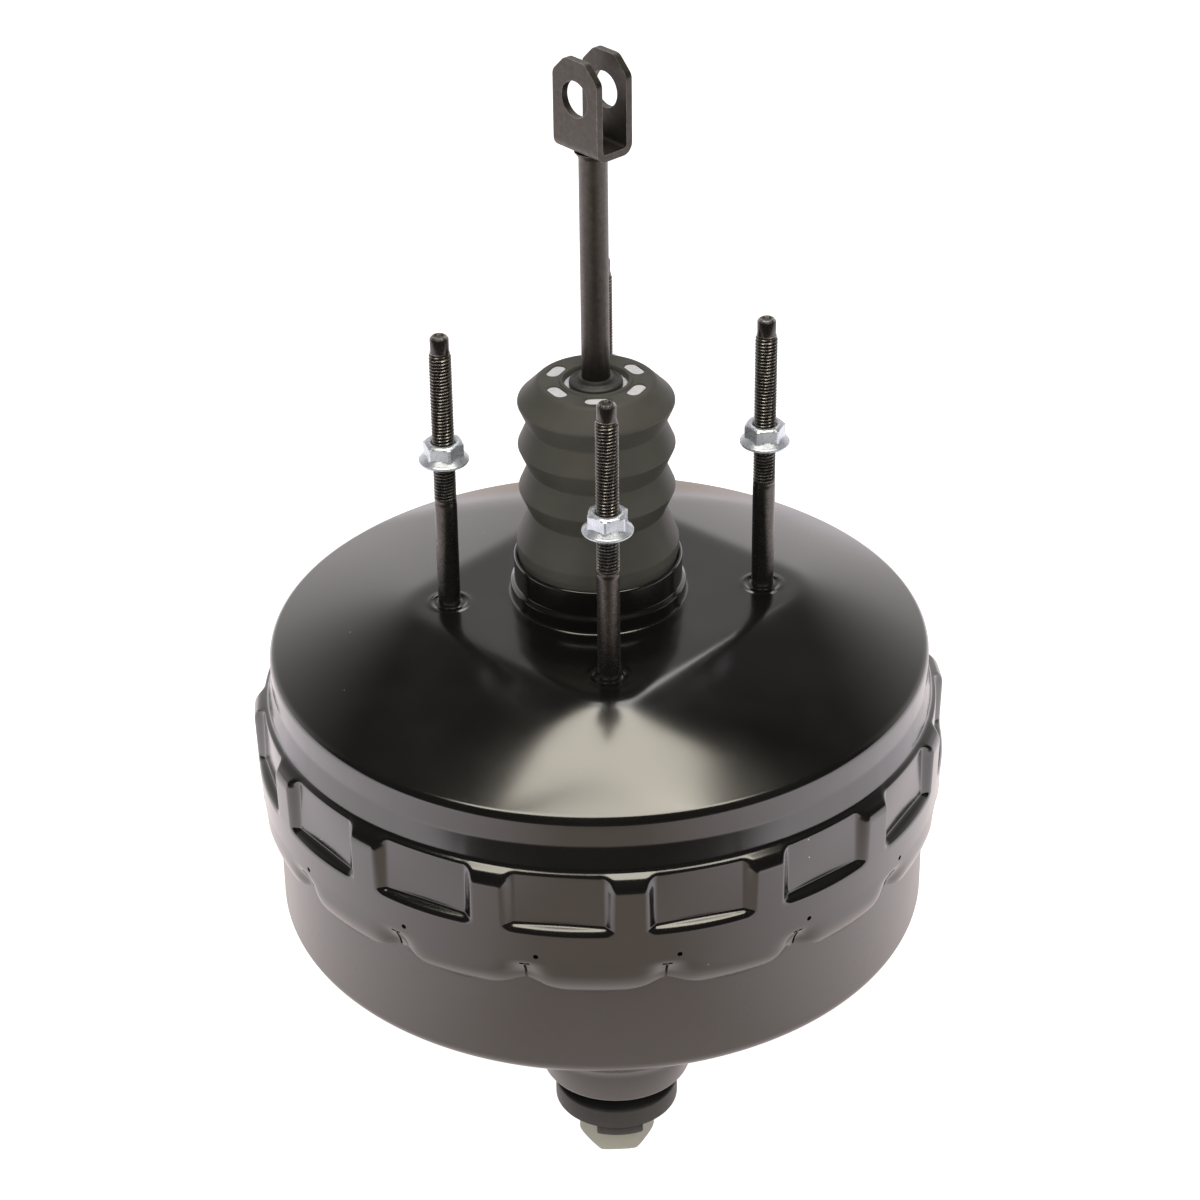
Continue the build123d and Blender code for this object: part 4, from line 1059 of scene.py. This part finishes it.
def softbox(name, round_deg, elevation, distance, width, height, radiance, colour, glossy=True,
            diffuse=True):
    """Area lamp aimed at the booster; 0 is over the camera, positive turns to its right."""
    a, e = radians(CAMERA_AZIMUTH + round_deg), radians(elevation)
    away = Vector((sin(a) * cos(e), -cos(a) * cos(e), sin(e)))
    data = bpy.data.lights.new(name, "AREA")
    data.shape = "RECTANGLE"
    data.size, data.size_y = width, height
    data.energy = radiance * pi * width * height
    data.color = colour
    lamp = bpy.data.objects.new(name, data)
    bpy.context.scene.collection.objects.link(lamp)
    lamp.matrix_world = (Matrix.Translation(away * distance + Vector((0, 0, LAMP_AIM_Z)))
                         @ away.to_track_quat("Z", "Y").to_matrix().to_4x4())
    lamp.visible_glossy = glossy
    lamp.visible_diffuse = diffuse


def lights():
    """Softboxes seen only by gloss, and lamps that light only the diffuse part."""
    warm, neutral, cool = (1.0, 0.94, 0.80), (1.0, 0.98, 0.95), (0.94, 0.95, 1.0)
    softbox("over", 0, 83, 1.5, 1.50, 0.42, 6.3, warm, diffuse=False)
    softbox("rear", 171, 79, 1.5, 0.84, 0.48, 6.3, warm, diffuse=False)
    softbox("back", 176, 57, 1.5, 0.42, 0.80, 3.6, neutral, diffuse=False)
    softbox("sky", 0, 78, 1.6, 1.2, 1.2, 1.3, neutral, glossy=False)
    softbox("left", -70, 35, 1.6, 0.8, 0.8, 0.25, neutral, glossy=False)
    softbox("right", 70, 35, 1.6, 0.8, 0.8, 0.25, cool, glossy=False)
    softbox("fill", 0, 42, 1.7, 1.0, 0.9, 5.4, neutral, glossy=False)


def background(tree, colour, strength=1.0):
    return add_node(tree, "Background", Color=(*colour, 1), Strength=strength).outputs[0]


def mixed(tree, factor, a, b):
    made = tree.nodes.new("ShaderNodeMixShader")
    for socket, source in zip(made.inputs, (factor, a, b)):
        tree.links.new(source, socket)
    return made.outputs[0]


def room():
    """World: white to the camera, dim for diffuse light, a low sweep behind for gloss."""
    world = bpy.data.worlds.new("room")
    bpy.context.scene.world = world
    world.use_nodes = True
    tree = world.node_tree
    tree.nodes.clear()
    direction = tree.nodes.new("ShaderNodeTexCoord").outputs["Generated"]
    behind = Vector((-sin(radians(CAMERA_AZIMUTH)), cos(radians(CAMERA_AZIMUTH)), 0))
    low_part = spread(tree, dot_product(tree, direction, (0, 0, 1)), 1, 0, *SWEEP_TOP)
    back_part = spread(tree, dot_product(tree, direction, behind), 0, 1, *SWEEP_SIDE)
    sweep = calculated(tree, "MULTIPLY", low_part, back_part)
    reflected = background(tree, SWEEP_TINT, spread(tree, sweep, *SWEEP_LEVELS, 0, 1))
    rays = tree.nodes.new("ShaderNodeLightPath").outputs
    lit = mixed(tree, rays["Is Glossy Ray"], background(tree, ROOM_TINT, ROOM_LEVEL), reflected)
    seen = mixed(tree, rays["Is Camera Ray"], lit, background(tree, (1, 1, 1)))
    output = tree.nodes.new("ShaderNodeOutputWorld")
    tree.links.new(seen, output.inputs["Surface"])


def floor():
    """Pale floor, white to the camera; metal sees it dim in front and bright at the sides."""
    z, far = VALVE_Z - 0.5, FLOOR_HALF
    square = [(-far, -far, z), (far, -far, z), (far, far, z), (-far, far, z)]
    sheet = build("floor", square, [(0, 1, 2, 3)])
    material, tree, shader, where = node_material("floor")
    cloud = spread(tree, noise(tree, where, 3), 0, 1)
    colour = blend_colours(tree, cloud, (0.78, 0.78, 0.78), (0.8, 0.8, 0.8))
    rays = tree.nodes.new("ShaderNodeLightPath").outputs
    forward, right = camera_axes()[:2]
    toward = Vector((-forward.x, -forward.y, 0)).normalized()
    across = calculated(tree, "ABSOLUTE", dot_product(tree, where, right))
    distance = calculated(tree, "LENGTH", where, kind="VectorMath", output="Value")
    front = spread(tree, dot_product(tree, where, toward), 0, 1, *FLOOR_FRONT)
    beside = calculated(tree, "MAXIMUM", spread(tree, across, 0, 1, *FLOOR_SIDE),
                        spread(tree, distance, 0.45, 0, *FLOOR_NEAR))

    def as_mirrored(centre, side, everywhere):
        near = blend_colours(tree, beside, centre, side)
        seen = blend_colours(tree, front, near, FLOOR_DARK)
        return blend_colours(tree, rays["Is Glossy Ray"], everywhere, seen)

    tree.links.new(as_mirrored((0.24, 0.20, 0.175), (0.8, 0.78, 0.8), colour),
                   shader.inputs["Base Color"])
    shader.inputs["Roughness"].default_value = 0.9
    outer = spread(tree, distance, 0, 1, *FLOOR_OUTER)
    side = blend_colours(tree, outer, (2.0, 1.87, 1.98), (1.38, 1.28, 1.36))
    level = as_mirrored((0.66, 0.55, 0.48), side, (0.15, 0.15, 0.15))
    level = blend_colours(tree, rays["Is Camera Ray"], level, (1.0, 1.0, 1.0))
    glow = add_node(tree, "Emission", Color=level, Strength=1.0)
    both = tree.nodes.new("ShaderNodeAddShader")
    tree.links.new(shader.outputs[0], both.inputs[0])
    tree.links.new(glow.outputs[0], both.inputs[1])
    tree.links.new(both.outputs[0], tree.nodes["Material Output"].inputs["Surface"])
    sheet.data.materials.append(material)


bpy.context.scene.view_settings.view_transform = "Standard"
place_camera()
dress_nodes()
rear_shell()
front_shell()
port_boss()
mounting_studs()
flange_nuts()
cylinder_studs()
air_filter()
dust_boot()
input_rod()
clevis()
rod_collar()
valve_grommet()
check_valve_body()
live_springs()
diaphragms()
room()
floor()
lights()
